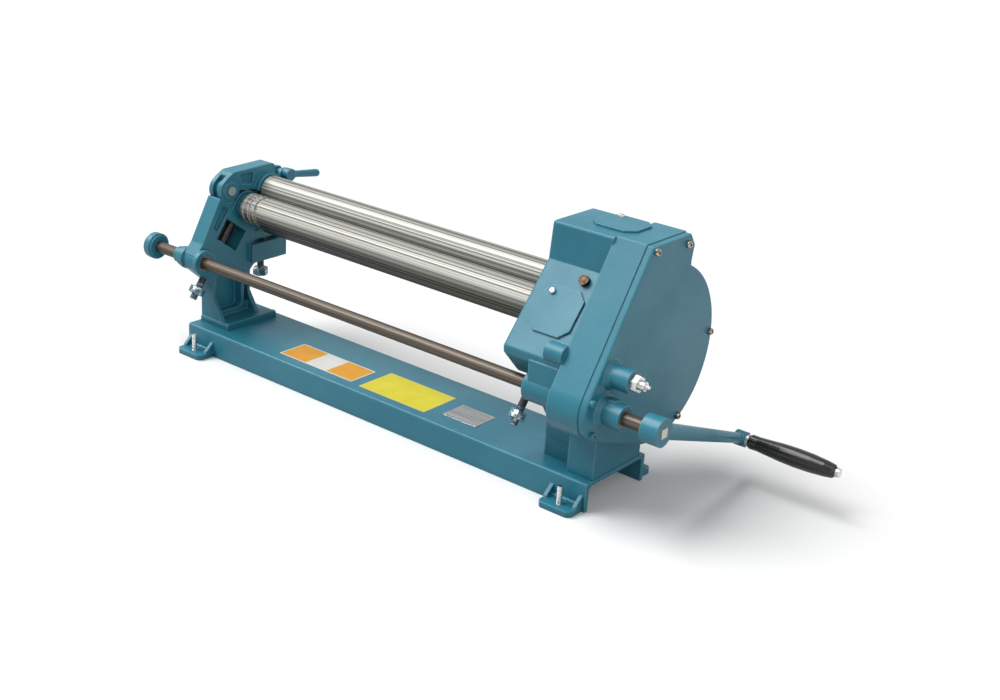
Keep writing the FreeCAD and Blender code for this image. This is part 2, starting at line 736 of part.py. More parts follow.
def clamp_lever():
    """Pinch clamp on the yoke's tongue: a screw through both lugs, turned by a tapered lever."""
    hub_x = (frame_inner + 0.4, frame_inner + 14)
    arm_x = (hub_x[0] + hub_x[1]) / 2
    slope = s.clamp_slope.value
    direction = FreeCAD.Vector(0, math.cos(math.radians(slope)), math.sin(math.radians(slope)))
    lean = (math.cos(math.radians(slope)), math.sin(math.radians(slope)))
    shank = rod_x("ClampShank", s.clamp_screw / 2, (frame_outer - 9, hub_x[1]), s.clamp_y, s.clamp_z)
    hub = rod_x("ClampHub", 11, hub_x, s.clamp_y, s.clamp_z)
    start = (arm_x, s.clamp_y + 6 * lean[0], s.clamp_z + 6 * lean[1])
    arm = cone("ClampArm", sized(6), sized(7), start, s.clamp_lever_length - 10, direction)
    end = document.addObject("Part::Sphere", "ClampArmEnd")
    end.Radius = 7
    reach = s.clamp_lever_length - 4
    place(end, arm_x, s.clamp_y + reach * lean[0], s.clamp_z + reach * lean[1])
    nut = hexagon("ClampNut", 17, (frame_outer - 8.4, s.clamp_y, s.clamp_z), 8, X_AXIS)
    keep(fuse("ClampLever", [shank, hub, arm, end, nut]), "clamp_lever")


def bend_block(label, x_range, boss):
    """Sliding bearing of the bending roll, round at its upper end."""
    body = slide_prism(label + "Body", (-s.bend_block_down, sized(0)),
                       (-s.bend_block_half, s.bend_block_half), x_range)
    top = rod_x(label + "Top", s.bend_block_half, x_range, s.bend_roll_y, s.bend_roll_z)
    pieces = [body, top]
    if boss:
        pieces.append(rod_x(label + "Boss", 19, boss, s.bend_roll_y, s.bend_roll_z))
    bore = rod_x(label + "Bore", bore_radius, (x_range[0] - 1, x_range[1] + 40), s.bend_roll_y, s.bend_roll_z)
    keep(cut(label + "Block", fuse(label + "Blank", pieces), [bore]), label)


def lower_block(label, x_range, boss):
    """Sliding bearing of the lower roll, with a wide foot that its screw lifts."""
    neck = box(label + "Neck", x_range, (s.roll_y - s.lower_block_half, s.roll_y + s.lower_block_half),
               (lower_roll_z - s.lower_block_down, lower_roll_z + s.lower_block_up))
    wide = box(label + "Wide", x_range, (s.roll_y - s.lower_block_wide, s.roll_y + s.lower_block_wide),
               (lower_roll_z - s.lower_block_down, lower_roll_z - 19))
    pieces = [neck, wide]
    if boss:
        pieces.append(rod_x(label + "Boss", s.lower_block_half - 0.5, boss, s.roll_y, lower_roll_z))
    bore = rod_x(label + "Bore", bore_radius, (x_range[0] - 1, x_range[1] + 40), s.roll_y, lower_roll_z)
    keep(cut(label + "Block", fuse(label + "Blank", pieces), [bore]), label)


def bend_screw(label, x):
    """Adjusting screw along the slide: it seats on the block and has a hexagon head."""
    start = (x, *slide_point(-s.bend_block_down, 0))
    length = s.bend_screw_reach - s.bend_block_down
    shank = rod(label + "Shank", s.adjust_screw / 2, start, length, slide_down)
    nut_start = (x, *slide_point(-s.bend_screw_reach + 22, 0))
    nut = hexagon(label + "Head", 24, nut_start, 12, slide_down)
    keep(fuse(label + "Screw", [shank, nut]), label)


def lower_screw(label, x):
    """Upright adjusting screw under the lower roll's block, with a round knob."""
    bottom = lower_roll_z - s.lower_screw_reach
    length = s.lower_screw_reach - s.lower_block_down
    shank = rod(label + "Shank", s.adjust_screw / 2, (x, s.roll_y, bottom), length, Z_AXIS)
    knob = hexagon(label + "Knob", 24, (x, s.roll_y, bottom + 2), 13, Z_AXIS)
    keep(fuse(label + "Screw", [shank, knob]), label)


def rolls():
    left = frame_outer + 1
    top_end = hub_pinion_layer[1] - 1
    keep(stepped("TopRoll", [
        (left, roll_left, journal_radius), (roll_left, roll_left + 1.5, roll_radius - 1.5),
        (roll_left + 1.5, roll_right - 1.5, roll_radius), (roll_right - 1.5, roll_right, roll_radius - 1.5),
        (roll_right, top_end, journal_radius),
    ], s.roll_y, s.top_roll_z), "top_roll")
    keep(stepped("LowerRoll", [
        (left, roll_left, journal_radius), (roll_left, roll_left + 1.5, roll_radius - 1.5),
        (roll_left + 1.5, roll_right - 1.5, roll_radius), (roll_right - 1.5, roll_right, roll_radius - 1.5),
        (roll_right, hub_pinion_layer[0] - 1, journal_radius),
    ], s.roll_y, lower_roll_z), "lower_roll")
    outline = [(left, 0), (left, journal_radius), (roll_left, journal_radius),
               (roll_left, roll_radius - 1.5), (roll_left + 1.5, roll_radius)]
    for number, half in enumerate((2, 3, 4)):
        middle = roll_left + 9 + number * s.groove_pitch
        outline += [(middle - half, roll_radius), (middle - half * 0.5, roll_radius - half),
                    (middle + half * 0.5, roll_radius - half), (middle + half, roll_radius)]
    outline += [(roll_right - 1.5, roll_radius), (roll_right, roll_radius - 1.5),
                (roll_right, journal_radius), (box_left + 43, journal_radius), (box_left + 43, 0)]
    keep(turned("BendRoll", outline, s.bend_roll_y, s.bend_roll_z), "bending_roll")


def drive_shaft():
    square_start = shaft_right - 28
    round_part = stepped("ShaftRound", [
        (shaft_left, shaft_left + 1, shaft_radius - 1), (shaft_left + 1, square_start, shaft_radius),
    ], s.shaft_y, shaft_z)
    side = s.shaft_diameter * 0.35
    square = box("ShaftSquare", (square_start - 1, shaft_right + 1),
                 (s.shaft_y - side, s.shaft_y + side), (shaft_z - side, shaft_z + side))
    keep(fuse("ShaftWhole", [round_part, square]), "drive_shaft")
    hub = stepped("EndHub", [
        (shaft_left + 4, shaft_left + 8, sized(20)), (shaft_left + 8, shaft_left + 20, sized(23)),
        (shaft_left + 20, shaft_left + 24, sized(20)),
    ], s.shaft_y, shaft_z)
    way = rod_x("EndHubBore", shaft_radius, (shaft_left, shaft_left + 30), s.shaft_y, shaft_z)
    keep(cut("EndHubCut", hub, [way]), "shaft_end_hub")
    right = frame_outer - 9
    collar = stepped("StopCollar", [
        (right - 18, right - 7, sized(14.5)), (right - 7, right, sized(17.5)),
    ], s.shaft_y, shaft_z)
    way = rod_x("StopCollarBore", shaft_radius, (right - 21, right + 1), s.shaft_y, shaft_z)
    screw_start = (right - 12.5, s.shaft_y, shaft_z - shaft_radius - 0.3)
    tap = rod("StopCollarTap", 4, screw_start, 8, -Z_AXIS)
    keep(cut("StopCollarCut", collar, [way, tap]), "stop_collar")
    keep(rod("CollarScrew", 4, screw_start, 7, -Z_AXIS), "collar_screw")


def crank():
    """Crank arm: a hub on the shaft's square end, a tapered arm and an eye for the spindle."""
    angle = s.crank_angle
    lean = (math.cos(math.radians(angle.value)), math.sin(math.radians(angle.value)))
    direction = FreeCAD.Vector(0, *lean)
    end_y = s.shaft_y + s.crank_length * cosine(angle)
    end_z = shaft_z + s.crank_length * sine(angle)
    hub_x = (shaft_right - 28, shaft_right)
    hub = rod_x("CrankHub", 21, hub_x, s.shaft_y, shaft_z)
    middle = (hub_x[0] + hub_x[1]) / 2
    start = (middle, s.shaft_y + 12 * lean[0], shaft_z + 12 * lean[1])
    arm = cone("CrankTaper", sized(12.5), sized(8), start, s.crank_length - 16, direction)
    eye = rod_x("CrankEye", 12, (middle - 9, middle + 9), end_y, end_z)
    side = s.shaft_diameter * 0.35
    square = box("CrankSquare", (hub_x[0] - 1, hub_x[1] + 1),
                 (s.shaft_y - side, s.shaft_y + side), (shaft_z - side, shaft_z + side))
    tap = rod_x("CrankTap", 6, (middle - 9, middle + 9), end_y, end_z)
    blank = fuse("CrankBlank", [hub, arm, eye])
    keep(cut("Crank", blank, [square, tap]), "crank_arm")
    grip_left = middle + 15
    grip_right = grip_left + s.grip_length
    keep(stepped("Spindle", [
        (middle - 9, middle + 9.4, sized(6)), (middle + 9.4, grip_left - 0.6, sized(9.5)),
        (grip_left - 0.6, grip_right + 0.6, sized(5)), (grip_right + 0.6, grip_right + 6, sized(7)),
    ], end_y, end_z), "grip_spindle")
    radius = s.grip_diameter / 2
    hole = 5 + s.running_clearance
    outline = [(grip_left, hole), (grip_left, radius - 5), (grip_left + 3, radius - 3.5)]
    for share, inset in ((0.1, 3.8), (0.22, 2.6), (0.38, 0.8), (0.55, 0), (0.72, 0.6), (0.88, 2.4)):
        outline.append((grip_left + s.grip_length * share, radius - inset))
    outline += [(grip_right - 4, radius - 4.4), (grip_right, radius - 8), (grip_right, hole)]
    keep(turned("Grip", outline, end_y, end_z), "crank_grip")


def gears():
    """Gear train: drive pinion, idler, bull gear on the cover's stub and the two roll gears."""
    toward_idler = math.degrees(math.atan2(idler_z.value - shaft_z.value, idler_y.value - s.shaft_y.value))
    drive_teeth = int(s.drive_teeth.value)
    idler_teeth = int(s.idler_teeth.value)
    bull_teeth = int(s.bull_teeth.value)
    roll_teeth = int(s.roll_teeth.value)
    idler_phase = meshing_phase(drive_teeth, toward_idler, toward_idler, idler_teeth)
    bull_phase = meshing_phase(idler_teeth, idler_phase, 0, bull_teeth)
    upper_phase = meshing_phase(roll_teeth, 90, 90, roll_teeth)
    stub_ride = s.stub_radius.value + s.running_clearance.value
    keep(gear("DrivePinion", drive_teeth, toward_idler, wheel_layer, s.shaft_y, shaft_z,
              shaft_radius.value), "drive_pinion")
    keep(gear("IdlerGear", idler_teeth, idler_phase, wheel_layer, idler_y, idler_z,
              s.idler_stud.value / 2 + s.running_clearance.value), "idler_gear")
    wheel = gear("BullWheel", bull_teeth, bull_phase, wheel_layer, s.roll_y, lower_roll_z,
                 stub_ride, (5, 68, 24))
    pinion = gear("BullPinion", roll_teeth, 90, hub_pinion_layer, s.roll_y, lower_roll_z, stub_ride)
    keep(fuse("BullGear", [wheel, pinion]), "bull_gear")
    keep(gear("LowerRollGear", roll_teeth, 90, roll_gear_layer, s.roll_y, lower_roll_z,
              journal_radius.value), "lower_roll_gear")
    keep(gear("TopRollGear", roll_teeth, upper_phase, (roll_gear_layer[0], hub_pinion_layer[1] - 1),
              s.roll_y, s.top_roll_z, journal_radius.value), "top_roll_gear")


def case_shape(name, inset, x_range):
    """Outline of gear case and cover: a big arc, a nose round the shaft and a flat-topped hump."""
    big = s.arc_radius - inset
    small = s.nose_radius - inset
    top = s.housing_top - inset
    front_sin = sine(s.front_angle)
    front_cos = cosine(s.front_angle)
    corner_y = s.shaft_y + ((top - shaft_z) * front_cos - small) / front_sin
    across_y = arc_y - s.shaft_y
    across_z = arc_z - shaft_z
    apart = root(across_y * across_y + across_z * across_z)
    along = (small - big) / apart
    aside = root(1 - along * along)
    normal_y = (along * across_y + aside * across_z) / apart
    normal_z = (along * across_z - aside * across_y) / apart
    outline = prism_x(name + "Hull", [
        (s.shaft_y - small * front_sin, shaft_z + small * front_cos), (corner_y, top),
        (s.box_back + 10 - inset, top), (s.box_back + 23 - inset, top - 18), (s.box_back + 19 - inset, top - 42),
        (arc_y + big * 0.5, arc_z), (arc_y + big * normal_y, arc_z + big * normal_z),
        (s.shaft_y + small * normal_y, shaft_z + small * normal_z),
    ], x_range)
    arc = rod_x(name + "Arc", big, x_range, arc_y, arc_z)
    nose = rod_x(name + "Nose", small, x_range, s.shaft_y, shaft_z)
    return fuse(name, [outline, arc, nose])


def gear_housing():
    """Casting at the right: bearing box with both slots, gear case, shaft lug and leg."""
    box_range = (box_left, case_left + 2)
    bearing_box = prism_x("BearingBox", [
        (s.box_front, s.housing_top), (s.box_back, s.housing_top), (s.box_back + 16, s.housing_top - 40),
        (s.box_back + 16, 150), (-15, 150), (-15, 171), (-57, 171),
        (s.slope_foot_y + 1, s.slope_foot_z - 11), (s.slope_foot_y, s.slope_foot_z), (0, slope_top_z),
    ], box_range, [(0, sized(6)), (1, sized(6)), (3, sized(12)), (8, sized(6))])
    bearing_box = rounded_end("BearingBoxRound", bearing_box, box_left, 6)
    case = case_shape("GearCase", 0, (case_left, case_right))
    leg = box("LegRight", (case_left + 2, half_length - 1.5), (-60, 62), (s.base_height, shaft_z))
    leg_web = box("LegLeft", (case_left - 56, case_left + 3), (-37, 62), (s.base_height, shaft_z - 6))
    lug = rod_x("ShaftLug", 24, (case_left - 63, case_left + 1), s.shaft_y, shaft_z)
    lug_web = box("ShaftLugWeb", (case_left - 56, case_left + 1), (s.shaft_y - 20, s.shaft_y + 22),
                  (shaft_z, 212))
    lug_foot = prism_x("ShaftLugFoot", [
        (s.shaft_y + 4, shaft_z - 23), (-54, shaft_z - 50), (-43, shaft_z - 88), (-30, shaft_z - 88),
        (-30, shaft_z), (s.shaft_y + 10, shaft_z),
    ], (case_left - 46, case_left + 3))
    half_boss = rod_x("HalfBoss", 15, (case_left - 30, case_left + 1), -84, 231)
    solid = fuse("HousingSolid", [bearing_box, case, leg, leg_web, lug, lug_web, lug_foot, half_boss])
    slot_range = (box_left - 1, box_left + 46)
    through = (box_left - 1, case_inner + 1)
    slot_depth = (box_left - 1, case_left)
    cavity = case_shape("GearSpace", s.case_wall, (case_inner, case_right + 1))
    tools = [cavity] + bend_slot("RightSlot", slot_range, s.bend_block_half + 1.5)
    tools += lower_slot("RightLower", slot_depth) + bolt_rods("HousingBoltHole")[4:] + [
        rod_x("RollWay", s.roll_way, (case_left - 1, case_inner + 1), s.roll_y, lower_roll_z),
        rod("PlugHole", 6, plug_point(-10), 12, plug_out()),
        rod_x("TopBore", bore_radius, through, s.roll_y, s.top_roll_z),
        rod_x("HousingShaftWay", shaft_radius + 3, (case_left - 70, case_inner + 1), s.shaft_y, shaft_z),
        rod_x("IdlerStudHole", s.idler_stud / 2, (case_left - 20, case_inner + 1), idler_y, idler_z),
        rod("RightLowerTap", s.adjust_screw / 2 + s.running_clearance, (box_left + 30, s.roll_y, 140),
            lower_roll_z - s.lower_slot_down - 139, Z_AXIS),
        adjuster_bore("RightTap", box_left + 22, sized(70)),
    ]
    keep(cut("GearHousing", solid, tools), "gear_housing")


def plug_out():
    """Direction out of the front slope."""
    rise = slope_top_z.value - s.slope_foot_z.value
    run = -s.slope_foot_y.value
    slant = math.hypot(rise, run)
    return FreeCAD.Vector(0, -rise / slant, run / slant)


def plug_point(out):
    """A point on the filler plug's axis, a given way out of the front slope."""
    normal = plug_out()
    down = s.plug_past_slope_top
    return (case_left - s.plug_offset, down * -normal.z + out * normal.y,
            slope_top_z + down * normal.y + out * normal.z)


def cover_screw_places():
    """Y and Z of the cover's screws, set in from its outline."""
    inset = 9
    places = [(corner_place(inset)), (s.box_back + 10 - inset - 2, s.housing_top - inset - 6)]
    for angle in (2, -62):
        reach = s.arc_radius - inset
        places.append((arc_y + reach * math.cos(math.radians(angle)), arc_z + reach * math.sin(math.radians(angle))))
    reach = s.nose_radius - inset
    for angle in (147, -130):
        places.append((s.shaft_y + reach * math.cos(math.radians(angle)), shaft_z + reach * math.sin(math.radians(angle))))
    return places


def corner_place(inset):
    top = s.housing_top - inset
    corner = s.shaft_y + ((top - shaft_z) * cosine(s.front_angle) - (s.nose_radius - inset)) / sine(s.front_angle)
    return (corner + 2, top)


def gear_cover():
    """Cover plate of the gear case with the bosses of the idler stud and the drive shaft."""
    plate = rounded_end("CoverPlateRound", case_shape("CoverPlate", s.cover_step, (cover_left, cover_right)),
                        cover_right, 3)
    stub = rod_x("BullStub", s.stub_radius, (hub_pinion_layer[0], cover_left + 1), s.roll_y, lower_roll_z)
    shoulder = rod_x("BullShoulder", s.stub_radius + 6, (wheel_layer[1] + 0.4, cover_left + 1),
                     s.roll_y, lower_roll_z)
    boss_range = (cover_right - 1, cover_right + s.boss_reach)
    shaft_boss = rod_x("CoverShaftBoss", 19, (cover_left + 2, boss_range[1]), s.shaft_y, shaft_z)
    stud_boss = rod_x("CoverStudBoss", 17.5, boss_range, idler_y, idler_z)
    flares = [cone("CoverShaftFlare", sized(25), sized(19), (cover_right - 0.5, s.shaft_y, shaft_z), 7, X_AXIS),
              cone("CoverStudFlare", sized(23.5), sized(17.5), (cover_right - 0.5, idler_y, idler_z), 7, X_AXIS)]
    pad = box("CoverPad", (cover_right + 3, cover_right + 21), (s.shaft_y - 7, s.shaft_y + 7),
              (shaft_z + 10, shaft_z + 22))
    tools = [
        rod_x("CoverShaftWay", shaft_radius + 3, (cover_left - 1, boss_range[1] + 1), s.shaft_y, shaft_z),
        rod_x("CoverStudWay", s.idler_stud / 2, (cover_left - 1, boss_range[1] + 1), idler_y, idler_z),
    ]
    for y, z in cover_screw_places():
        tools.append(rod_x("CoverHole", 4, (cover_left - 1, cover_right + 1), y, z))
    blank = fuse("CoverBlank", [plate, shaft_boss, stud_boss, pad, stub, shoulder] + flares)
    keep(cut("GearCover", blank, tools), "gear_cover")
    screws = []
    for y, z in cover_screw_places():
        shank = rod_x("CoverShank", 4, (cover_left, cover_right + 1), y, z)
        head = rod_x("CoverHead", 6.5, (cover_right, cover_right + 6), y, z)
        screws.append(fuse("CoverScrew", [shank, head]))
    group = document.addObject("Part::Compound", "CoverScrews")
    group.Links = screws
    keep(group, "cover_screws")
    stud = rod_x("IdlerStud", s.idler_stud / 2, (case_left - 20, boss_range[1] + 20), idler_y, idler_z)
    keep(stud, "idler_stud")
    nut = hexagon("IdlerNut", 22, (boss_range[1], idler_y, idler_z), 11, X_AXIS)
    way = rod_x("IdlerNutWay", s.idler_stud / 2, (boss_range[1] - 1, boss_range[1] + 13), idler_y, idler_z)
    keep(cut("IdlerNutCut", nut, [way]), "idler_nut")


def bush(label, x_range):
    """Bronze bush of the drive shaft."""
    outer = rod_x(label + "Outer", shaft_radius + 3, x_range, s.shaft_y, shaft_z)
    inner = rod_x(label + "Inner", shaft_bore, (x_range[0] - 1, x_range[1] + 1), s.shaft_y, shaft_z)
    keep(cut(label + "Ring", outer, [inner]), label)


def octagon_plate(label, half_x, half_y, thickness, placement, screw_spot):
    """An inspection plate with cut corners and its one screw."""
    body = document.addObject("PartDesign::Body", label + "Body")
    nip = 14
    corners = [(-half_x, -half_y + nip), (-half_x + nip, -half_y), (half_x - nip, -half_y),
               (half_x, -half_y + nip), (half_x, half_y - nip), (half_x - nip, half_y),
               (-half_x + nip, half_y), (-half_x, half_y - nip)]
    sketch = closed_sketch(body, "XY_Plane", corners, label + "Outline")
    pad = body.newObject("PartDesign::Pad", label + "Pad")
    pad.Profile = sketch
    pad.Length = thickness
    body.Tip = pad
    body.Placement = placement
    keep(body, label)
    spot = placement.multVec(FreeCAD.Vector(screw_spot[0], screw_spot[1], thickness))
    normal = placement.Rotation.multVec(Z_AXIS)
    keep(rod(label + "Screw", 5, (spot.x, spot.y, spot.z), 5, normal), label + "_screw")


def inspection_plates():
    octagon_plate("top_plate", 38, 33, 3, FreeCAD.Placement(
        FreeCAD.Vector(case_left.value - 25, 66, s.housing_top.value), FreeCAD.Rotation()), (-18, 22))
    rise = slope_top_z.value - s.slope_foot_z.value
    run = -s.slope_foot_y.value
    slope = FreeCAD.Rotation(X_AXIS, math.degrees(math.atan2(rise, run)))
    middle = FreeCAD.Vector(case_left.value - 48, -run / 2, slope_top_z.value - rise / 2)
    octagon_plate("front_plate", 36, 38, 3, FreeCAD.Placement(middle, slope), (-20, 26))


def oil_plug():
    """Filler plug on the front slope of the bearing box."""
    head = rod("PlugHead", 8, plug_point(0.1), 7, plug_out())
    shank = rod("PlugShank", 6, plug_point(-9), 10, plug_out())
    keep(fuse("OilPlug", [head, shank]), "oil_plug")


def frame_bolts():
    """Bolts that hold both castings down, their heads under the channel's web."""
    bolts = []
    under = s.base_height - s.base_web
    for shank, (x, y) in zip(bolt_rods("BoltShank"), bolt_places()):
        head = hexagon("BoltHead", s.bolt_diameter * 1.7, (x, y, under - 7), 7, Z_AXIS)
        bolts.append(fuse("Bolt", [shank, head]))
    group = document.addObject("Part::Compound", "FrameBolts")
    group.Links = bolts
    keep(group, "frame_bolts")


base_channel()
for end, side_x in (("left", -1), ("right", 1)):
    for face, side_y in (("front", -1), ("back", 1)):
        foot(f"foot_{face}_{end}", side_x, side_y)
foot_studs()
end_frame()
yoke()
clamp_lever()
bend_block("bend_block_left", (frame_outer + 1, frame_inner), (frame_inner - 1, roll_left - 1))
bend_block("bend_block_right", (box_left + 1, box_left + 43), None)
lower_block("lower_block_left", (frame_outer + 1, frame_inner), (frame_inner - 1, roll_left - 1))
lower_block("lower_block_right", (box_left + 1, case_left - 1), None)
bend_screw("bend_screw_left", frame_middle)
bend_screw("bend_screw_right", box_left + 22)
lower_screw("lower_screw_left", frame_middle)
lower_screw("lower_screw_right", box_left + 30)
rolls()
drive_shaft()
crank()
gears()
gear_housing()
gear_cover()
bush("left_shaft_bush", (frame_outer - 8, frame_inner + 10))
bush("middle_shaft_bush", (case_left - 63, case_inner))
bush("cover_shaft_bush", (cover_left, cover_right + s.boss_reach))
inspection_plates()
oil_plug()
frame_bolts()

document.recompute()
for feature in document.Objects:
    if {"Invalid", "Error"} & set(feature.State):
        raise ValueError(f"{feature.Label} did not build: {feature.State}")
os.makedirs("parts", exist_ok=True)
for feature in kept_parts:
    shape = feature.Shape
    if shape.isNull() or not shape.isValid():
        raise ValueError(f"{feature.Label} has no valid shape")
    shape.exportStep(f"parts/{feature.Label}.step")
    print(f"{feature.Label}: {shape.Volume / 1000:.1f} cm3, {len(shape.Solids)} solids")
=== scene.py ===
# %% [markdown]
# # A slip roll machine, dressed for a catalogue picture
#
# The machine bends sheet metal between three rolls. Its shape comes ready as a fixed frame of
# named parts, so this lesson is about finishes: enamel over castings, ground steel rolls, zinc
# screws and a polished black grip. It also adds what is too fine for the frame, such as threads,
# weld beads and bare label plates.

# %% Load the frame and keep its size
import json
import math

import bmesh
import bpy
from mathutils import Matrix, Vector


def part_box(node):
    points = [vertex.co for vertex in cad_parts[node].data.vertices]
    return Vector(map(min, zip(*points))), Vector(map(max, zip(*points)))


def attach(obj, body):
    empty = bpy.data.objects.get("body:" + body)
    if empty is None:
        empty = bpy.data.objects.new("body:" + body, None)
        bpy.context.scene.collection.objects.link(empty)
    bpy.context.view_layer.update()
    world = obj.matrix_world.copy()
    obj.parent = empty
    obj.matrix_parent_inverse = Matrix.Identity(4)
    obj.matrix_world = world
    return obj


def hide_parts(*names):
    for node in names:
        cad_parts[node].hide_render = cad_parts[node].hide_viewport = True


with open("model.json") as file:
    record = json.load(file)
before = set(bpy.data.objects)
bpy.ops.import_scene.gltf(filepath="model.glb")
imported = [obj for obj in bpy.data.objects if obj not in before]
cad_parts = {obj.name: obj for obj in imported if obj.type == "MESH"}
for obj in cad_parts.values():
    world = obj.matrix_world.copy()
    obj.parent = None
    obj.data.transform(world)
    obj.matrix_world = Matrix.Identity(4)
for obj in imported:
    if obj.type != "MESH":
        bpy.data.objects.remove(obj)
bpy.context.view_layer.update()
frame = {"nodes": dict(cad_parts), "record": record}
nodes = frame["nodes"]
scene = bpy.context.scene
scene.view_settings.view_transform = "Standard"
print("The frame has", len(nodes), "parts")

# %% [markdown]
# ## The camera
#
# The picture was taken from the front right, a little above the rolls. A camera is a place, three
# directions and a focal length. Writing the directions from a turn, a tilt and a small roll keeps
# each number readable, and the matrix built from them needs no constraint or empty to aim at.

# %% Set the camera
CAMERA_PLACE = Vector((1.44578, -1.65349, 0.99045))
CAMERA_TURN = math.radians(36.99)
CAMERA_TILT = math.radians(21.78)
CAMERA_ROLL = math.radians(4.15)
CAMERA_LENS = 52.58
SENSOR_WIDTH = 36
FAR_CLIP = 50

forward = Vector((
    -math.sin(CAMERA_TURN) * math.cos(CAMERA_TILT),
    math.cos(CAMERA_TURN) * math.cos(CAMERA_TILT),
    -math.sin(CAMERA_TILT),
))
level_right = Vector((math.cos(CAMERA_TURN), math.sin(CAMERA_TURN), 0))
level_up = level_right.cross(forward)
right = level_right * math.cos(CAMERA_ROLL) + level_up * math.sin(CAMERA_ROLL)
up = level_up * math.cos(CAMERA_ROLL) - level_right * math.sin(CAMERA_ROLL)

camera = bpy.data.objects.new("catalogue_camera", bpy.data.cameras.new("catalogue_camera"))
camera.data.lens = CAMERA_LENS
camera.data.sensor_width = SENSOR_WIDTH
camera.data.clip_end = FAR_CLIP
camera_axes = Matrix((right, up, -forward)).transposed()
camera.matrix_world = Matrix.Translation(CAMERA_PLACE) @ camera_axes.to_4x4()
scene.collection.objects.link(camera)
scene.camera = camera
print("Camera", round(CAMERA_PLACE.length, 2), "m from the machine's origin")

# %% [markdown]
# ## The studio
#
# The catalogue picture is cut out on white, with one soft shadow to the right and behind. A large
# pale floor takes that shadow. The world and the floor look at the kind of each ray: what the
# camera, a reflection or a clear part sees is white, while the light that they give back to the
# machine stays low, so that its recesses keep their depth.


# %% Helpers: nodes and wires
def add_node(tree, kind, **settings):
    """Add a node to a tree; settings are the node's own properties."""
    node = tree.nodes.new(kind)
    for name, value in settings.items():
        setattr(node, name, value)
    return node


def wire(tree, start, end):
    tree.links.new(start, end)


def feed(tree, socket, value):
    """Wire a socket to an input, or set the input when the value is plain."""
    if hasattr(value, "links"):
        wire(tree, value, socket)
    else:
        socket.default_value = value


def fed_node(tree, kind, inputs, **settings):
    """Add a node and feed its inputs, each named by its label or number."""
    node = add_node(tree, kind, **settings)
    for key, value in inputs.items():
        feed(tree, node.inputs[key], value)
    return node


def calculate(tree, operation, first, second=0.0, third=0.0, clamp=False):
    """One Math node; each value is a number or a socket."""
    node = fed_node(tree, "ShaderNodeMath", {0: first, 1: second, 2: third},
                    operation=operation, use_clamp=clamp)
    return node.outputs[0]


def seen_directly(tree):
    """1 for what the camera, a reflection or a clear part sees, 0 for light that is passed on."""
    ray = add_node(tree, "ShaderNodeLightPath").outputs
    mirrored = calculate(tree, "ADD", ray["Is Glossy Ray"], ray["Is Transmission Ray"])
    return calculate(tree, "ADD", ray["Is Camera Ray"], mirrored, clamp=True)


# %% Build the floor
FLOOR_SIZE = 400
FLOOR_WHITE = (0.86, 0.86, 0.86, 1)
FLOOR_BOUNCE = (0.30, 0.30, 0.30, 1)
FLOOR_LIFT = 0.07
FLOOR_DROP = 0.0005

floor_mesh = bpy.data.meshes.new("studio_floor")
floor_build = bmesh.new()
bmesh.ops.create_grid(floor_build, x_segments=1, y_segments=1, size=FLOOR_SIZE / 2)
floor_build.to_mesh(floor_mesh)
floor_build.free()
floor = bpy.data.objects.new("studio_floor", floor_mesh)
floor.location.z = -FLOOR_DROP
scene.collection.objects.link(floor)

floor_paint = bpy.data.materials.new("pale_floor")
floor_paint.use_nodes = True
floor_tree = floor_paint.node_tree
floor_tree.nodes.clear()
floor_seen = seen_directly(floor_tree)
floor_colour = fed_node(floor_tree, "ShaderNodeMix", data_type="RGBA",
                        inputs={"Factor": floor_seen, 6: FLOOR_BOUNCE, 7: FLOOR_WHITE})
floor_diffuse = fed_node(floor_tree, "ShaderNodeBsdfDiffuse", {"Color": floor_colour.outputs[2]})
floor_lift = calculate(floor_tree, "MULTIPLY", floor_seen, FLOOR_LIFT)
floor_glow = fed_node(floor_tree, "ShaderNodeEmission", {"Strength": floor_lift})
floor_sum = fed_node(floor_tree, "ShaderNodeAddShader",
                     {0: floor_diffuse.outputs[0], 1: floor_glow.outputs[0]})
fed_node(floor_tree, "ShaderNodeOutputMaterial", {"Surface": floor_sum.outputs[0]})
floor_mesh.materials.append(floor_paint)
print("Floor", FLOOR_SIZE, "m wide")

# %% [markdown]
# ### Lamps
#
# The key light comes from high on the left, which is why the sloping front of the gear case is the
# brightest side and the shadow falls to the right. A sun lamp with a wide disc lights the machine
# and the whole floor evenly, so the white does not grey off with distance. A weaker and wider one
# opens up the gear cover on the right.


# %% Set the lamps and the world
KEY_DIRECTION, KEY_STRENGTH, KEY_DISC = (-0.50, -0.27, 0.82), 3.2, 46
FILL_DIRECTION, FILL_STRENGTH, FILL_DISC = (0.84, -0.28, 0.46), 0.80, 70
LAMP_DISTANCE = 3
WORLD_LIGHT = 0.30


def wide_sun(name, towards, strength, disc_degrees):
    """A sun lamp that shines from a direction, with a wide disc for a soft shadow."""
    lamp = bpy.data.lights.new(name, "SUN")
    lamp.energy = strength
    lamp.angle = math.radians(disc_degrees)
    holder = bpy.data.objects.new(name, lamp)
    holder.rotation_euler = Vector(towards).to_track_quat("Z", "Y").to_euler()
    holder.location = Vector(towards) * LAMP_DISTANCE
    scene.collection.objects.link(holder)


wide_sun("key_light", KEY_DIRECTION, KEY_STRENGTH, KEY_DISC)
wide_sun("fill_light", FILL_DIRECTION, FILL_STRENGTH, FILL_DISC)

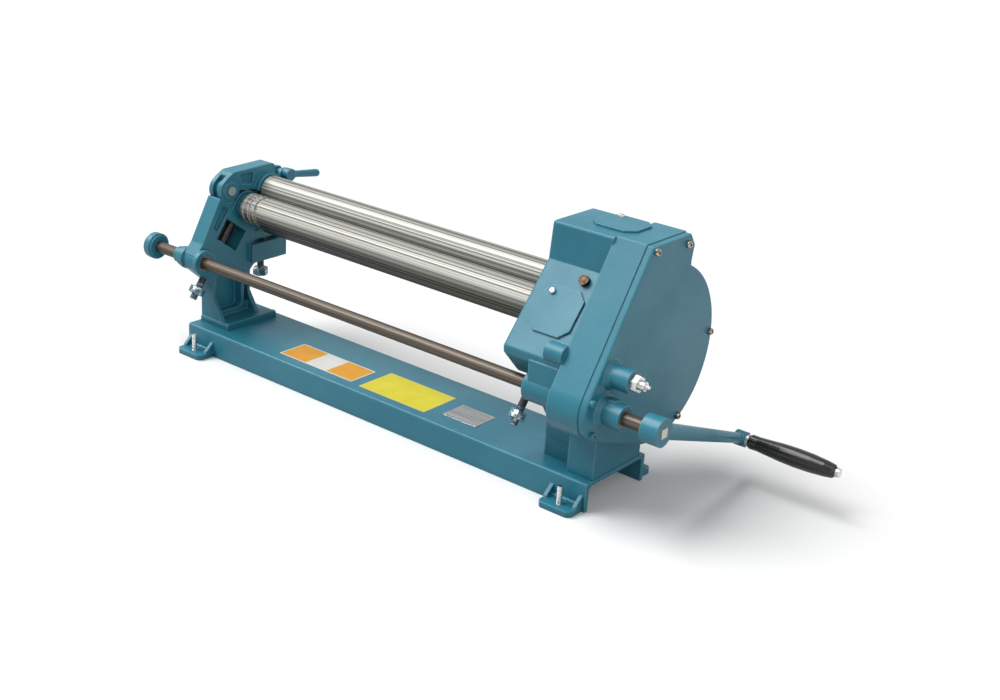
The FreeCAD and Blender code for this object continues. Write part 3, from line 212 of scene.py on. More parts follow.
world = bpy.data.worlds.new("studio_world")
scene.world = world
world.use_nodes = True
world_tree = world.node_tree
world_tree.nodes.clear()
world_light = fed_node(world_tree, "ShaderNodeBackground", {"Strength": WORLD_LIGHT})
world_white = add_node(world_tree, "ShaderNodeBackground")
world_mix = fed_node(world_tree, "ShaderNodeMixShader", {
    0: seen_directly(world_tree), 1: world_light.outputs[0], 2: world_white.outputs[0]})
fed_node(world_tree, "ShaderNodeOutputWorld", {"Surface": world_mix.outputs[0]})
print("Two lamps and a world at", WORLD_LIGHT)

# %% [markdown]
# ## Shared effects
#
# Some effects turn up in more than one finish, so each is a node group that is built once: a mottle
# that shifts colour over a surface, a fine grain for the bump, long streaks like those that grinding
# leaves along a bar with a mask for painted shade under its axis, and a mask of edges and corners
# for painted highlights and painted shade. The patterns read Object coordinates, so they stay on
# their part when the part turns. The mask looks at the shape itself.


# %% Helpers: groups, noise, ranges and mixes
FLOAT = "NodeSocketFloat"
COLOUR = "NodeSocketColor"
VECTOR = "NodeSocketVector"


def new_group(name, inputs, outputs):
    """An empty node group; inputs list (name, socket type, default) and outputs (name, type)."""
    group = bpy.data.node_groups.new(name, "ShaderNodeTree")
    for label, kind, default in inputs:
        socket = group.interface.new_socket(name=label, in_out="INPUT", socket_type=kind)
        socket.default_value = default
    for label, kind in outputs:
        group.interface.new_socket(name=label, in_out="OUTPUT", socket_type=kind)
    return group, group.nodes.new("NodeGroupInput"), group.nodes.new("NodeGroupOutput")


def noise_in(tree, vector, scale, detail=3.0, roughness=0.5):
    """A noise texture on a vector; scale may be a number or a socket."""
    noise = fed_node(tree, "ShaderNodeTexNoise", {
        "Vector": vector, "Scale": scale, "Detail": detail, "Roughness": roughness})
    return noise.outputs["Fac"]


def spread(tree, value, low, high, to_low=0.0, to_high=1.0):
    """Stretch a value from one range to another, and hold it inside the new one."""
    ranged = fed_node(tree, "ShaderNodeMapRange", {
        "Value": value, "From Min": low, "From Max": high, "To Min": to_low, "To Max": to_high})
    return ranged.outputs["Result"]


def blend_colours(tree, share, first, second, how="MIX"):
    """Mix two colours; each may be a colour or a socket."""
    mix = fed_node(tree, "ShaderNodeMix", {"Factor": share, 6: first, 7: second},
                   data_type="RGBA", blend_type=how)
    return mix.outputs[2]


def object_place(tree):
    """Object coordinates, which stay on a part when it turns."""
    return add_node(tree, "ShaderNodeTexCoord").outputs["Object"]


def split_axes(tree, vector):
    """The X, Y and Z of a vector."""
    return fed_node(tree, "ShaderNodeSeparateXYZ", {0: vector}).outputs


# %% Build the mottle and the casting grain
FINE_SHARE = 0.35
mottle, mottle_in, mottle_out = new_group("mottle", [
    ("Colour A", COLOUR, (0.1, 0.28, 0.37, 1)), ("Colour B", COLOUR, (0.08, 0.24, 0.33, 1)),
    ("Size", FLOAT, 9.0),
], [("Colour", COLOUR), ("Mask", FLOAT)])
mottle_noise = noise_in(mottle, object_place(mottle), mottle_in.outputs["Size"], 4.0, 0.6)
mottle_mask = spread(mottle, mottle_noise, 0.35, 0.65)
mottle_colour = blend_colours(mottle, mottle_mask,
                              mottle_in.outputs["Colour A"], mottle_in.outputs["Colour B"])
wire(mottle, mottle_colour, mottle_out.inputs["Colour"])
wire(mottle, mottle_mask, mottle_out.inputs["Mask"])

grain, grain_in, grain_out = new_group("casting_grain", [
    ("Coarse Size", FLOAT, 120.0), ("Fine Size", FLOAT, 900.0),
], [("Height", FLOAT)])
coarse = noise_in(grain, object_place(grain), grain_in.outputs["Coarse Size"], 2.0)
fine = noise_in(grain, object_place(grain), grain_in.outputs["Fine Size"], 2.0)
wire(grain, calculate(grain, "MULTIPLY_ADD", fine, FINE_SHARE, coarse), grain_out.inputs["Height"])
print("Mottle and grain are ready")

# %% [markdown]
# ### Streaks along a bar
#
# A ground roll is never one grey. The stone leaves full-length lines, and on the rolls the broad
# light and dark bands along them are painted reflection. The side under the bar's axis is darkened
# as painted shade. Noise that is stretched along the bar gives the lines, and the height over the
# bar's own axis gives the painted shade. The lines stop at the bar's ends, so a third mask marks the
# faces that are square to it.

# %% Build the long streaks
streaks, streaks_in, streaks_out = new_group("long_streaks", [
    ("Across Size", FLOAT, 180.0), ("Along Size", FLOAT, 1.2),
    ("Axis Height", FLOAT, 0.2), ("Radius", FLOAT, 0.026),
], [("Fine", FLOAT), ("Broad", FLOAT), ("Underside", FLOAT), ("End Face", FLOAT)])
bar_place = object_place(streaks)
across_size = streaks_in.outputs["Across Size"]
stretch = fed_node(streaks, "ShaderNodeCombineXYZ", {
    "X": streaks_in.outputs["Along Size"], "Y": across_size, "Z": across_size})
scaled = fed_node(streaks, "ShaderNodeVectorMath", {0: bar_place, 1: stretch.outputs[0]},
                  operation="MULTIPLY")
wire(streaks, noise_in(streaks, scaled.outputs[0], 5.5, 2.0, 0.6), streaks_out.inputs["Fine"])
wire(streaks, noise_in(streaks, scaled.outputs[0], 2.1, 1.0, 0.5), streaks_out.inputs["Broad"])
bar_height = split_axes(streaks, bar_place)["Z"]
over_axis = calculate(streaks, "SUBTRACT", bar_height, streaks_in.outputs["Axis Height"])
share_over = calculate(streaks, "DIVIDE", over_axis, streaks_in.outputs["Radius"])
wire(streaks, spread(streaks, share_over, -0.62, 0.18, 1.0, 0.0), streaks_out.inputs["Underside"])
bar_normal = add_node(streaks, "ShaderNodeTexCoord").outputs["Normal"]
facing_along = calculate(streaks, "ABSOLUTE", split_axes(streaks, bar_normal)["X"])
wire(streaks, spread(streaks, facing_along, 0.85, 0.97), streaks_out.inputs["End Face"])
print("Streaks are ready")

# %% [markdown]
# ### Edges and corners
#
# The finishes lighten an edge as a painted highlight and darken a corner as painted shade.
# The Bevel node looks a little way round an edge and bends the normal. Where that normal differs
# from the plain one there is an edge, and the Ambient Occlusion node finds the corners.

# %% Build the edge and corner masks
edges, edges_in, edges_out = new_group("edges_and_corners", [
    ("Radius", FLOAT, 0.0015), ("Corner Reach", FLOAT, 0.012),
], [("Normal", VECTOR), ("Edge", FLOAT), ("Corner", FLOAT)])
rounded = fed_node(edges, "ShaderNodeBevel", {"Radius": edges_in.outputs["Radius"]}, samples=4)
plain_normal = add_node(edges, "ShaderNodeNewGeometry").outputs["Normal"]
likeness = fed_node(edges, "ShaderNodeVectorMath", {0: rounded.outputs["Normal"], 1: plain_normal},
                    operation="DOT_PRODUCT")
occlusion = fed_node(edges, "ShaderNodeAmbientOcclusion",
                     {"Distance": edges_in.outputs["Corner Reach"]}, samples=4)
wire(edges, rounded.outputs["Normal"], edges_out.inputs["Normal"])
wire(edges, spread(edges, likeness.outputs["Value"], 0.996, 0.90), edges_out.inputs["Edge"])
wire(edges, spread(edges, occlusion.outputs["AO"], 0.75, 0.15), edges_out.inputs["Corner"])
print("Shared effects:", [group.name for group in bpy.data.node_groups])

# %% [markdown]
# ## Finishes
#
# Every finish starts from one Principled shader. The plain numbers, such as metallic or coat, go on
# its own sockets; only what changes over the surface comes from the groups above.


# %% Helpers: a new finish
def new_finish(name, metallic=0.0, roughness=0.4, coat=0.0, coat_roughness=0.1, specular=0.5):
    """A material with a Principled shader; returns the material, its tree and the shader."""
    material = bpy.data.materials.new(name)
    material.use_nodes = True
    tree = material.node_tree
    shader = tree.nodes["Principled BSDF"]
    values = {"Metallic": metallic, "Roughness": roughness, "Coat Weight": coat,
              "Coat Roughness": coat_roughness, "Specular IOR Level": specular}
    for label, value in values.items():
        shader.inputs[label].default_value = value
    return material, tree, shader


def use_group(tree, group, **values):
    """Place a group in a material; values name its inputs with underscores for spaces."""
    named = {name.replace("_", " "): value for name, value in values.items()}
    return fed_node(tree, "ShaderNodeGroup", named, node_tree=group)


def add_bump(tree, shader, height, strength, distance, normal=None):
    """Bump a shader's normal by a height, on top of another normal when one is given."""
    bump = fed_node(tree, "ShaderNodeBump",
                    {"Strength": strength, "Distance": distance, "Height": height})
    if normal is not None:
        wire(tree, normal, bump.inputs["Normal"])
    wire(tree, bump.outputs[0], shader.inputs["Normal"])


# %% [markdown]
# ### Teal enamel
#
# The castings are sprayed with a thick blue-green enamel. It is smooth but not flat: the casting's
# skin shows through as a slow ripple and the colour drifts a little from place to place. Edges are
# lightened as a painted highlight and corners darkened as painted shade.


# %% Mix the enamel
# Corners are darkened as painted shade and edges lightened as a painted highlight.
CORNER_SHADE, CORNER_SHARE = 0.42, 0.75
EDGE_GAIN, EDGE_LIFT, EDGE_SHARE = 1.35, 0.13, 0.80


def enamel(name, light, dark, roughness, ripple):
    """Sprayed enamel that drifts between two colours; ripple is the strength of the bump."""
    material, tree, shader = new_finish(name, roughness=roughness, coat=0.10,
                                        coat_roughness=0.25, specular=0.42)
    colour = use_group(tree, mottle, Colour_A=(*light, 1), Colour_B=(*dark, 1), Size=7.0)
    skin = use_group(tree, grain, Coarse_Size=95.0, Fine_Size=520.0)
    edge_and_corner_masks = use_group(tree, edges, Radius=0.0030, Corner_Reach=0.018)
    # deep is painted shade for the corners and pale a painted highlight for the edges.
    deep = tuple(CORNER_SHADE * value for value in dark)
    pale = tuple(min(1.0, EDGE_GAIN * value + EDGE_LIFT) for value in light)
    corner = calculate(tree, "MULTIPLY", edge_and_corner_masks.outputs["Corner"], CORNER_SHARE)
    edge = calculate(tree, "MULTIPLY", edge_and_corner_masks.outputs["Edge"], EDGE_SHARE)
    shaded = blend_colours(tree, corner, colour.outputs["Colour"], (*deep, 1))
    wire(tree, blend_colours(tree, edge, shaded, (*pale, 1)), shader.inputs["Base Color"])
    wire(tree, spread(tree, colour.outputs["Mask"], 0, 1, roughness - 0.05, roughness + 0.06),
         shader.inputs["Roughness"])
    add_bump(tree, shader, skin.outputs["Height"], ripple, 0.0006, edge_and_corner_masks.outputs["Normal"])
    return material


casting_enamel = enamel("teal_enamel", (0.026, 0.215, 0.300), (0.018, 0.180, 0.258), 0.42, 0.30)
channel_enamel = enamel("channel_enamel", (0.030, 0.230, 0.325), (0.023, 0.198, 0.285), 0.38, 0.12)
print("Enamels are ready")

# %% [markdown]
# ### Steel
#
# The rolls are ground and oiled, the drive shaft is dark bright-drawn bar, and the fasteners are
# plated. They differ only in tone, in how fine the lines are, in how much painted shade darkens the
# underside and in how strong the painted highlight on their edges is, so one function mixes them
# all. A metallic share below 1 lets them take shade like an oiled surface does.


# %% Mix the steels
# Lightness of the painted highlight on steel edges.
EDGE_HIGHLIGHT_GAIN, EDGE_HIGHLIGHT_LIFT, EDGE_HIGHLIGHT_TOP = 1.25, 0.12, 0.92


def streaked_steel(name, light, dark, roughness, across, along=0.05, metallic=1.0, film=0.0,
                   axis_height=0.0, radius=0.026, edge_highlight_share=0.5, edge_radius=0.0007):
    """Steel with lines along X; film is how much painted shade darkens the side under the axis."""
    material, tree, shader = new_finish(name, metallic=metallic, roughness=roughness)
    lines = use_group(tree, streaks, Across_Size=across, Along_Size=along,
                      Axis_Height=axis_height, Radius=radius)
    edge_and_corner_masks = use_group(tree, edges, Radius=edge_radius, Corner_Reach=0.006)
    broad = spread(tree, lines.outputs["Broad"], 0.42, 0.60)
    fine = spread(tree, lines.outputs["Fine"], 0.36, 0.64, 0.50, 1.15)
    tone = blend_colours(tree, broad, (*dark, 1), (*light, 1))
    # The side under the axis is darkened as painted shade.
    under_axis_shading = calculate(tree, "MULTIPLY_ADD", lines.outputs["Underside"], -film, 1.0)
    shade = calculate(tree, "MULTIPLY", fine, under_axis_shading)
    grey = fed_node(tree, "ShaderNodeCombineColor", {"Red": shade, "Green": shade, "Blue": shade})
    lined = blend_colours(tree, 1.0, tone, grey.outputs[0], "MULTIPLY")
    faced = tuple((first + second) / 2 for first, second in zip(light, dark))
    lined = blend_colours(tree, lines.outputs["End Face"], lined, (*faced, 1))
    # Edges are lightened as a painted highlight.
    bright = tuple(min(EDGE_HIGHLIGHT_TOP, EDGE_HIGHLIGHT_GAIN * value + EDGE_HIGHLIGHT_LIFT) for value in light)
    edge = calculate(tree, "MULTIPLY", edge_and_corner_masks.outputs["Edge"], edge_highlight_share)
    wire(tree, blend_colours(tree, edge, lined, (*bright, 1)), shader.inputs["Base Color"])
    wire(tree, spread(tree, lines.outputs["Fine"], 0.2, 0.8, roughness - 0.06, roughness + 0.10),
         shader.inputs["Roughness"])
    add_bump(tree, shader, lines.outputs["Fine"], 0.12, 0.0002, edge_and_corner_masks.outputs["Normal"])
    return material


# On the rolls the streaks between the light and the dark tone are grinding lines and painted
# reflection bands.
ROLL_LIGHT = (0.66, 0.66, 0.61)
ROLL_DARK = (0.125, 0.122, 0.105)
ROLL_RADIUS = 0.026


def box_middle(node):
    """The middle of a part's box, as three numbers."""
    return [(low + high) / 2 for low, high in zip(*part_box(node))]


def roll_finish(node):
    """The ground finish of one roll, with painted shade under its own axis."""
    return streaked_steel(node + "_steel", ROLL_LIGHT, ROLL_DARK, 0.50, 95.0, metallic=0.50,
                          film=0.80, axis_height=box_middle(node)[2], radius=ROLL_RADIUS,
                          edge_highlight_share=1.0, edge_radius=0.0014)


# The shaft is darkened under its axis as painted shade too.
shaft_steel = streaked_steel("dark_shaft_steel", (0.175, 0.145, 0.115), (0.085, 0.066, 0.052),
                             0.44, 170.0, along=0.6, metallic=0.55, film=0.6,
                             axis_height=box_middle("drive_shaft")[2], radius=0.010)
zinc = streaked_steel("zinc_plate", (0.72, 0.72, 0.74), (0.52, 0.53, 0.55),
                      0.28, 260.0, along=90.0)
plated_screw = streaked_steel("plated_screw", (0.80, 0.80, 0.80), (0.60, 0.59, 0.57),
                              0.22, 330.0, along=120.0)
oiled_screw = streaked_steel("oiled_screw", (0.60, 0.52, 0.45), (0.16, 0.125, 0.10),
                             0.22, 110.0, along=60.0)
gear_iron = streaked_steel("gear_iron", (0.115, 0.118, 0.125), (0.05, 0.052, 0.056),
                           0.45, 120.0, along=80.0)
dark_brass = streaked_steel("dark_brass", (0.11, 0.075, 0.048), (0.045, 0.030, 0.020),
                            0.36, 160.0, along=90.0, edge_highlight_share=0.25)
bronze = streaked_steel("bush_bronze", (0.26, 0.19, 0.11), (0.12, 0.085, 0.05),
                        0.40, 160.0, along=90.0)
print("Steels are ready")

# %% [markdown]
# ### The shaft's machined end
#
# The drive shaft is dark along its run, but its right end is machined to carry the crank, and bare
# metal shows there. The place along the bar decides between the two colours.

# %% Brighten the machined end
HUB_START = 0.517
FADE = 0.001
MACHINED = (0.72, 0.64, 0.54, 1)
end_tree = shaft_steel.node_tree
end_colour = end_tree.nodes["Principled BSDF"].inputs["Base Color"]
along_shaft = split_axes(end_tree, object_place(end_tree))["X"]
machined = spread(end_tree, along_shaft, HUB_START, HUB_START + FADE)
bar_colour = end_colour.links[0].from_socket
wire(end_tree, blend_colours(end_tree, machined, bar_colour, MACHINED), end_colour)
print("The machined end starts at", HUB_START, "m")

# %% [markdown]
# ### Adjusting screws
#
# The heads of the adjusting screws were painted with the machine and have been turned with a spanner
# since. The paint is gone from their corners, and bare steel shines through. Above the heads the
# shanks are painted near black as painted shade, so height over the floor decides between the two.


# %% Mix the worn paint of the screw heads
HEAD_TOP = 0.1225
BARE_STEEL = (0.66, 0.68, 0.70, 1)
SHANK_SHADE_BLACK = (0.030, 0.030, 0.032, 1)
worn_paint, worn_tree, worn_shader = new_finish("worn_screw_paint", roughness=0.34)
worn_colour = use_group(worn_tree, mottle, Colour_A=(0.030, 0.190, 0.268, 1),
                        Colour_B=(0.020, 0.13, 0.19, 1), Size=60.0)
worn_edges = use_group(worn_tree, edges, Radius=0.0016, Corner_Reach=0.010)
patches = noise_in(worn_tree, object_place(worn_tree), 140.0, 3.0, 0.6)
patch_mask = spread(worn_tree, patches, 0.52, 0.62, 0.0, 0.85)
bare = calculate(worn_tree, "MAXIMUM", patch_mask, worn_edges.outputs["Edge"])
over_floor = split_axes(worn_tree, object_place(worn_tree))["Z"]
on_shank = spread(worn_tree, over_floor, HEAD_TOP, HEAD_TOP + FADE)
worn_head = blend_colours(worn_tree, bare, worn_colour.outputs["Colour"], BARE_STEEL)
# Above HEAD_TOP the shank is painted near black as painted shade.
wire(worn_tree, blend_colours(worn_tree, on_shank, worn_head, SHANK_SHADE_BLACK),
     worn_shader.inputs["Base Color"])
wire(worn_tree, bare, worn_shader.inputs["Metallic"])
wire(worn_tree, worn_edges.outputs["Normal"], worn_shader.inputs["Normal"])
print("Worn paint is ready")

# %% [markdown]
# ### The grip
#
# The grip is turned and dipped in a glossy black lacquer that has picked up a few dull patches from
# the hand.

# %% Mix the black lacquer
black_lacquer, lacquer_tree, lacquer_shader = new_finish(
    "black_lacquer", roughness=0.24, coat=0.35, coat_roughness=0.10, specular=0.35)
hand_marks = use_group(lacquer_tree, mottle, Colour_A=(0.006, 0.006, 0.006, 1),
                       Colour_B=(0.013, 0.012, 0.012, 1), Size=28.0)
wire(lacquer_tree, hand_marks.outputs["Colour"], lacquer_shader.inputs["Base Color"])
wire(lacquer_tree, spread(lacquer_tree, hand_marks.outputs["Mask"], 0, 1, 0.20, 0.34),
     lacquer_shader.inputs["Roughness"])
print("Black lacquer is ready")

# %% [markdown]
# ## Dress the frame
#
# A part of the frame keeps its mesh and only gets a finish in its material slots. The record names
# a slot for each part, and one table says which finish that slot becomes. A second, shorter table
# names the parts that look unlike the rest of their slot.

# %% Give every part its finish
FINISH_OF_SLOT = {
    "teal_paint": casting_enamel,
    "base_paint": channel_enamel,
    "crank_paint": casting_enamel,
    "dark_steel": shaft_steel,
    "zinc_steel": zinc,
    "gear_steel": gear_iron,
    "bronze": bronze,
    "black_grip": black_lacquer,
}
FINISH_OF_PART = {
    "oil_plug": dark_brass,
    "idler_stud": plated_screw,
    "idler_nut": plated_screw,
    "bend_block_left": casting_enamel,
    "bend_block_right": casting_enamel,
    "foot_studs": plated_screw,
    "bend_screw_left": worn_paint,
    "bend_screw_right": worn_paint,
    "lower_screw_left": worn_paint,
    "lower_screw_right": worn_paint,
}
for row in frame["record"]["subparts"]:
    part_mesh = nodes[row["node"]].data
    if row["material_slot"] == "ground_roll":
        finish = roll_finish(row["node"])
    else:
        finish = FINISH_OF_PART.get(row["node"], FINISH_OF_SLOT[row["material_slot"]])
    if len(part_mesh.materials) == 0:
        part_mesh.materials.append(finish)
    for index in range(len(part_mesh.materials)):
        part_mesh.materials[index] = finish

# %% [markdown]
# ## Small pieces
#
# Screws with real sockets, threads, weld beads and the bare plates are too fine for the frame.
# Most of them repeat, so each kind is drawn once, along the Z axis, and a Geometry Nodes tree puts
# a copy on every place. The places are points in a frame of their own, whose Z axis is the screw's
# axis, and one matrix then turns the finished mesh into the machine.


# %% Helpers: skins, outlines and places
SKIN_SHARP, TREE_SHARP, WELD_SHARP = 35, 40, 60


def circle_ring(radius, height, count=32):
    """A ring of points round the Z axis."""
    steps = [2 * math.pi * index / count for index in range(count)]
    return [(radius * math.cos(step), radius * math.sin(step), height) for step in steps]


def hexagon_ring(across_flats, height, count=36):
    """A ring of points that follows a hexagon."""
    ring = []
    for index in range(count):
        step = 2 * math.pi * index / count
        swing = (step % (math.pi / 3)) - math.pi / 6
        reach = across_flats / 2 / math.cos(swing)
        ring.append((reach * math.cos(step), reach * math.sin(step), height))
    return ring


def rounded_ring(half_x, half_y, corner, height, count=5):
    """A ring of points that follows a rectangle with round corners."""
    ring = []
    for turn, (side_x, side_y) in enumerate(((1, 1), (-1, 1), (-1, -1), (1, -1))):
        for index in range(count + 1):
            step = math.pi / 2 * (turn + index / count)
            ring.append((side_x * (half_x - corner) + corner * math.cos(step),
                         side_y * (half_y - corner) + corner * math.sin(step), height))
    return ring


def settle(mesh, sharp_degrees):
    """Turn a mesh's faces outwards and smooth it, apart from its sharp edges."""
    build = bmesh.new()
    build.from_mesh(mesh)
    bmesh.ops.recalc_face_normals(build, faces=build.faces)
    build.to_mesh(mesh)
    build.free()
    mesh.shade_smooth()
    mesh.set_sharp_from_angle(angle=math.radians(sharp_degrees))


def skin(name, rings):
    """A closed mesh over a row of rings, with a flat cap at both ends."""
    count = len(rings[0])
    points = [point for ring in rings for point in ring]
    faces = [tuple(range(count)), tuple(range((len(rings) - 1) * count, len(rings) * count))]
    for level in range(len(rings) - 1):
        for index in range(count):
            first = level * count + index
            second = level * count + (index + 1) % count
            faces.append((first, second, second + count, first + count))
    mesh = bpy.data.meshes.new(name)
    mesh.from_pydata(points, [], faces)
    settle(mesh, SKIN_SHARP)
    return mesh


def axis_frame(origin, direction):
    """A matrix that turns the Z axis into a direction and moves the origin."""
    turn = Vector(direction).to_track_quat("Z", "Y").to_matrix().to_4x4()
    return Matrix.Translation(origin) @ turn


def add_piece(name, mesh, body, finish=None):
    """Put a finished mesh into the scene, riding on a body."""
    if finish is not None:
        mesh.materials.clear()
        mesh.materials.append(finish)
    piece = bpy.data.objects.new(name, mesh)
    scene.collection.objects.link(piece)
    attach(piece, body)
    return piece


# %% [markdown]
# ### Three trees
#
# One tree copies a piece onto points, one winds a thread and one lays a weld. Each has its sizes as
# named inputs. The modifier's inputs are set by their identifiers before the mesh is first made, and
# then the modifier's own object is thrown away, so that only a plain mesh is left.


# %% Helpers: build and run a tree
def new_tree(name, sizes):
    """A Geometry Nodes tree with named number inputs and a finish."""
    tree = bpy.data.node_groups.new(name, "GeometryNodeTree")
    tree.interface.new_socket(name="Geometry", in_out="INPUT", socket_type="NodeSocketGeometry")
    for label, default in sizes:
        socket = tree.interface.new_socket(name=label, in_out="INPUT", socket_type=FLOAT)
        socket.default_value = default
    tree.interface.new_socket(name="Finish", in_out="INPUT", socket_type="NodeSocketMaterial")
    tree.interface.new_socket(name="Geometry", in_out="OUTPUT", socket_type="NodeSocketGeometry")
    return tree, add_node(tree, "NodeGroupInput"), add_node(tree, "NodeGroupOutput")


def close_tree(tree, entry, leave, instances):
    """End a tree in Realize Instances and Set Material."""
    real = fed_node(tree, "GeometryNodeRealizeInstances", {0: instances})
    paint = fed_node(tree, "GeometryNodeSetMaterial",
                     {"Geometry": real.outputs[0], "Material": entry.outputs["Finish"]})
    wire(tree, paint.outputs[0], leave.inputs[0])


def run_tree(name, tree, points, lines, stand, sizes, finish, body,
             sharp_degrees=TREE_SHARP):
    """Run a tree on points, keep the plain mesh, stand it by a matrix and ride it on a body."""
    start_mesh = bpy.data.meshes.new(name + "_points")
    start_mesh.from_pydata(points, lines, [])
    maker = bpy.data.objects.new(name + "_maker", start_mesh)
    scene.collection.objects.link(maker)
    modifier = maker.modifiers.new("maker", "NODES")
    modifier.node_group = tree
    values = dict(sizes, Finish=finish)
    for item in tree.interface.items_tree:
        if item.item_type == "SOCKET" and item.in_out == "INPUT" and item.name in values:
            modifier[item.identifier] = values[item.name]
    evaluated = maker.evaluated_get(bpy.context.evaluated_depsgraph_get())
    made = bpy.data.meshes.new_from_object(evaluated)
    bpy.data.objects.remove(maker)
    made.transform(stand)
    settle(made, sharp_degrees)
    piece = add_piece(name, made, body, finish)
    print(name, "has", len(made.polygons), "faces")
    return piece


# %% Build the tree that copies a piece onto points
TURN_STEP = 0.7
copies, copies_in, copies_out = new_tree("copies_on_points", [("Turn Step", TURN_STEP)])
copies.interface.new_socket(name="Piece", in_out="INPUT", socket_type="NodeSocketObject")
copied = fed_node(copies, "GeometryNodeObjectInfo", {"Object": copies_in.outputs["Piece"]})
numbering = add_node(copies, "GeometryNodeInputIndex")
turn = calculate(copies, "MULTIPLY", numbering.outputs[0], copies_in.outputs["Turn Step"])
turning = fed_node(copies, "ShaderNodeCombineXYZ", {"Z": turn})
scatter = fed_node(copies, "GeometryNodeInstanceOnPoints", {
    "Points": copies_in.outputs["Geometry"], "Instance": copied.outputs["Geometry"],
    "Rotation": turning.outputs[0]})
close_tree(copies, copies_in, copies_out, scatter.outputs[0])


def copy_onto(name, mesh, points, stand, finish, body):
    """Copy a small mesh onto points; each copy is turned a little further than the last."""
    original = bpy.data.objects.new(name + "_original", mesh)
    scene.collection.objects.link(original)
    piece = run_tree(name, copies, points, [], stand, {"Piece": original, "Turn Step": TURN_STEP},
                     finish, body)
    bpy.data.objects.remove(original)
    return piece


# %% Build the tree that winds a thread
winding, winding_in, winding_out = new_tree("wound_thread", [
    ("Radius", 0.004), ("Pitch", 0.00125), ("Depth", 0.0004), ("Length", 0.02)])
winding_radius, winding_length = winding_in.outputs["Radius"], winding_in.outputs["Length"]
turns = calculate(winding, "DIVIDE", winding_length, winding_in.outputs["Pitch"])
spiral = fed_node(winding, "GeometryNodeCurveSpiral", {
    "Resolution": 20, "Rotations": turns, "Start Radius": winding_radius,
    "End Radius": winding_radius, "Height": winding_length})
ridge = fed_node(winding, "GeometryNodeCurvePrimitiveCircle",
                 {"Resolution": 4, "Radius": winding_in.outputs["Depth"]})
wound = fed_node(winding, "GeometryNodeCurveToMesh", {
    "Curve": spiral.outputs[0], "Profile Curve": ridge.outputs[0], "Fill Caps": True})
wound_scatter = fed_node(winding, "GeometryNodeInstanceOnPoints", {
    "Points": winding_in.outputs["Geometry"], "Instance": wound.outputs[0]})
close_tree(winding, winding_in, winding_out, wound_scatter.outputs[0])

# %% Build the tree that lays a weld
DROPLET_OVERLAP = 1.15
weld, weld_in, weld_out = new_tree("weld_bead", [
    ("Step", 0.0022), ("Width", 0.0035), ("Height", 0.0022)])
weld_line = fed_node(weld, "GeometryNodeMeshToCurve", {0: weld_in.outputs["Geometry"]})
weld_steps = fed_node(weld, "GeometryNodeResampleCurve", mode="LENGTH", inputs={
    "Curve": weld_line.outputs[0], "Length": weld_in.outputs["Step"]})
droplet = fed_node(weld, "GeometryNodeMeshUVSphere", {"Segments": 10, "Rings": 7, "Radius": 1.0})
weld_tangent = add_node(weld, "GeometryNodeInputTangent")
weld_along = fed_node(weld, "FunctionNodeAlignRotationToVector",
                      {"Vector": weld_tangent.outputs[0]}, axis="X")
weld_luck = fed_node(weld, "FunctionNodeRandomValue", {2: 0.8, 3: 1.2, "Seed": 7},
                     data_type="FLOAT")
weld_size = fed_node(weld, "ShaderNodeCombineXYZ", {
    "X": calculate(weld, "MULTIPLY", weld_in.outputs["Step"], DROPLET_OVERLAP),
    "Y": calculate(weld, "MULTIPLY", weld_in.outputs["Width"], weld_luck.outputs[1]),
    "Z": calculate(weld, "MULTIPLY", weld_in.outputs["Height"], weld_luck.outputs[1])})
weld_scatter = fed_node(weld, "GeometryNodeInstanceOnPoints", {
    "Points": weld_steps.outputs[0], "Instance": droplet.outputs[0],
    "Rotation": weld_along.outputs[0], "Scale": weld_size.outputs[0]})
close_tree(weld, weld_in, weld_out, weld_scatter.outputs[0])
print("Trees:", copies.name, winding.name, weld.name)

# %% [markdown]
# ### Cap screws
#
# The gear cover is held by socket screws. The frame has plain round heads there, so the places are
# read from the frame's own mesh: the points on the outer face of the heads fall into one cluster for
# each screw, and the middle of a cluster is the screw's axis. The new screws have a domed head with
# a real hexagon socket, and they replace the plain ones. The two on the nose are painted over.


# %% Find the screw places and make the cap screws
SCREW_POINTS = 36
DOME_STEPS = ((1.0, 0.0), (0.985, 0.55), (0.90, 0.80), (0.74, 0.95), (0.58, 1.0))


def head_centres(node, keeps, reach):
    """Middles of the clusters of a node's points that pass a test."""
    clusters = []
    for vertex in nodes[node].data.vertices:
        point = vertex.co.copy()
        if not keeps(point):
            continue
        for cluster in clusters:
            if (cluster[0] - point).length < reach:
                cluster.append(point)
                break
        else:
            clusters.append([point])
    middles = []
    for cluster in clusters:
        low = Vector([min(point[axis] for point in cluster) for axis in range(3)])
        high = Vector([max(point[axis] for point in cluster) for axis in range(3)])
        middles.append((low + high) / 2)
    return middles


def cap_screw(name, shank, head, height, socket, shank_length):
    """A socket screw along Z whose domed head sits on Z = 0."""
    rings = [circle_ring(shank, -shank_length, SCREW_POINTS), circle_ring(shank, 0, SCREW_POINTS)]
    rings += [circle_ring(head * width, height * rise, SCREW_POINTS) for width, rise in DOME_STEPS]
    rings += [hexagon_ring(socket, height * 0.99), hexagon_ring(socket * 0.97, height * 0.45)]
    return skin(name, rings)


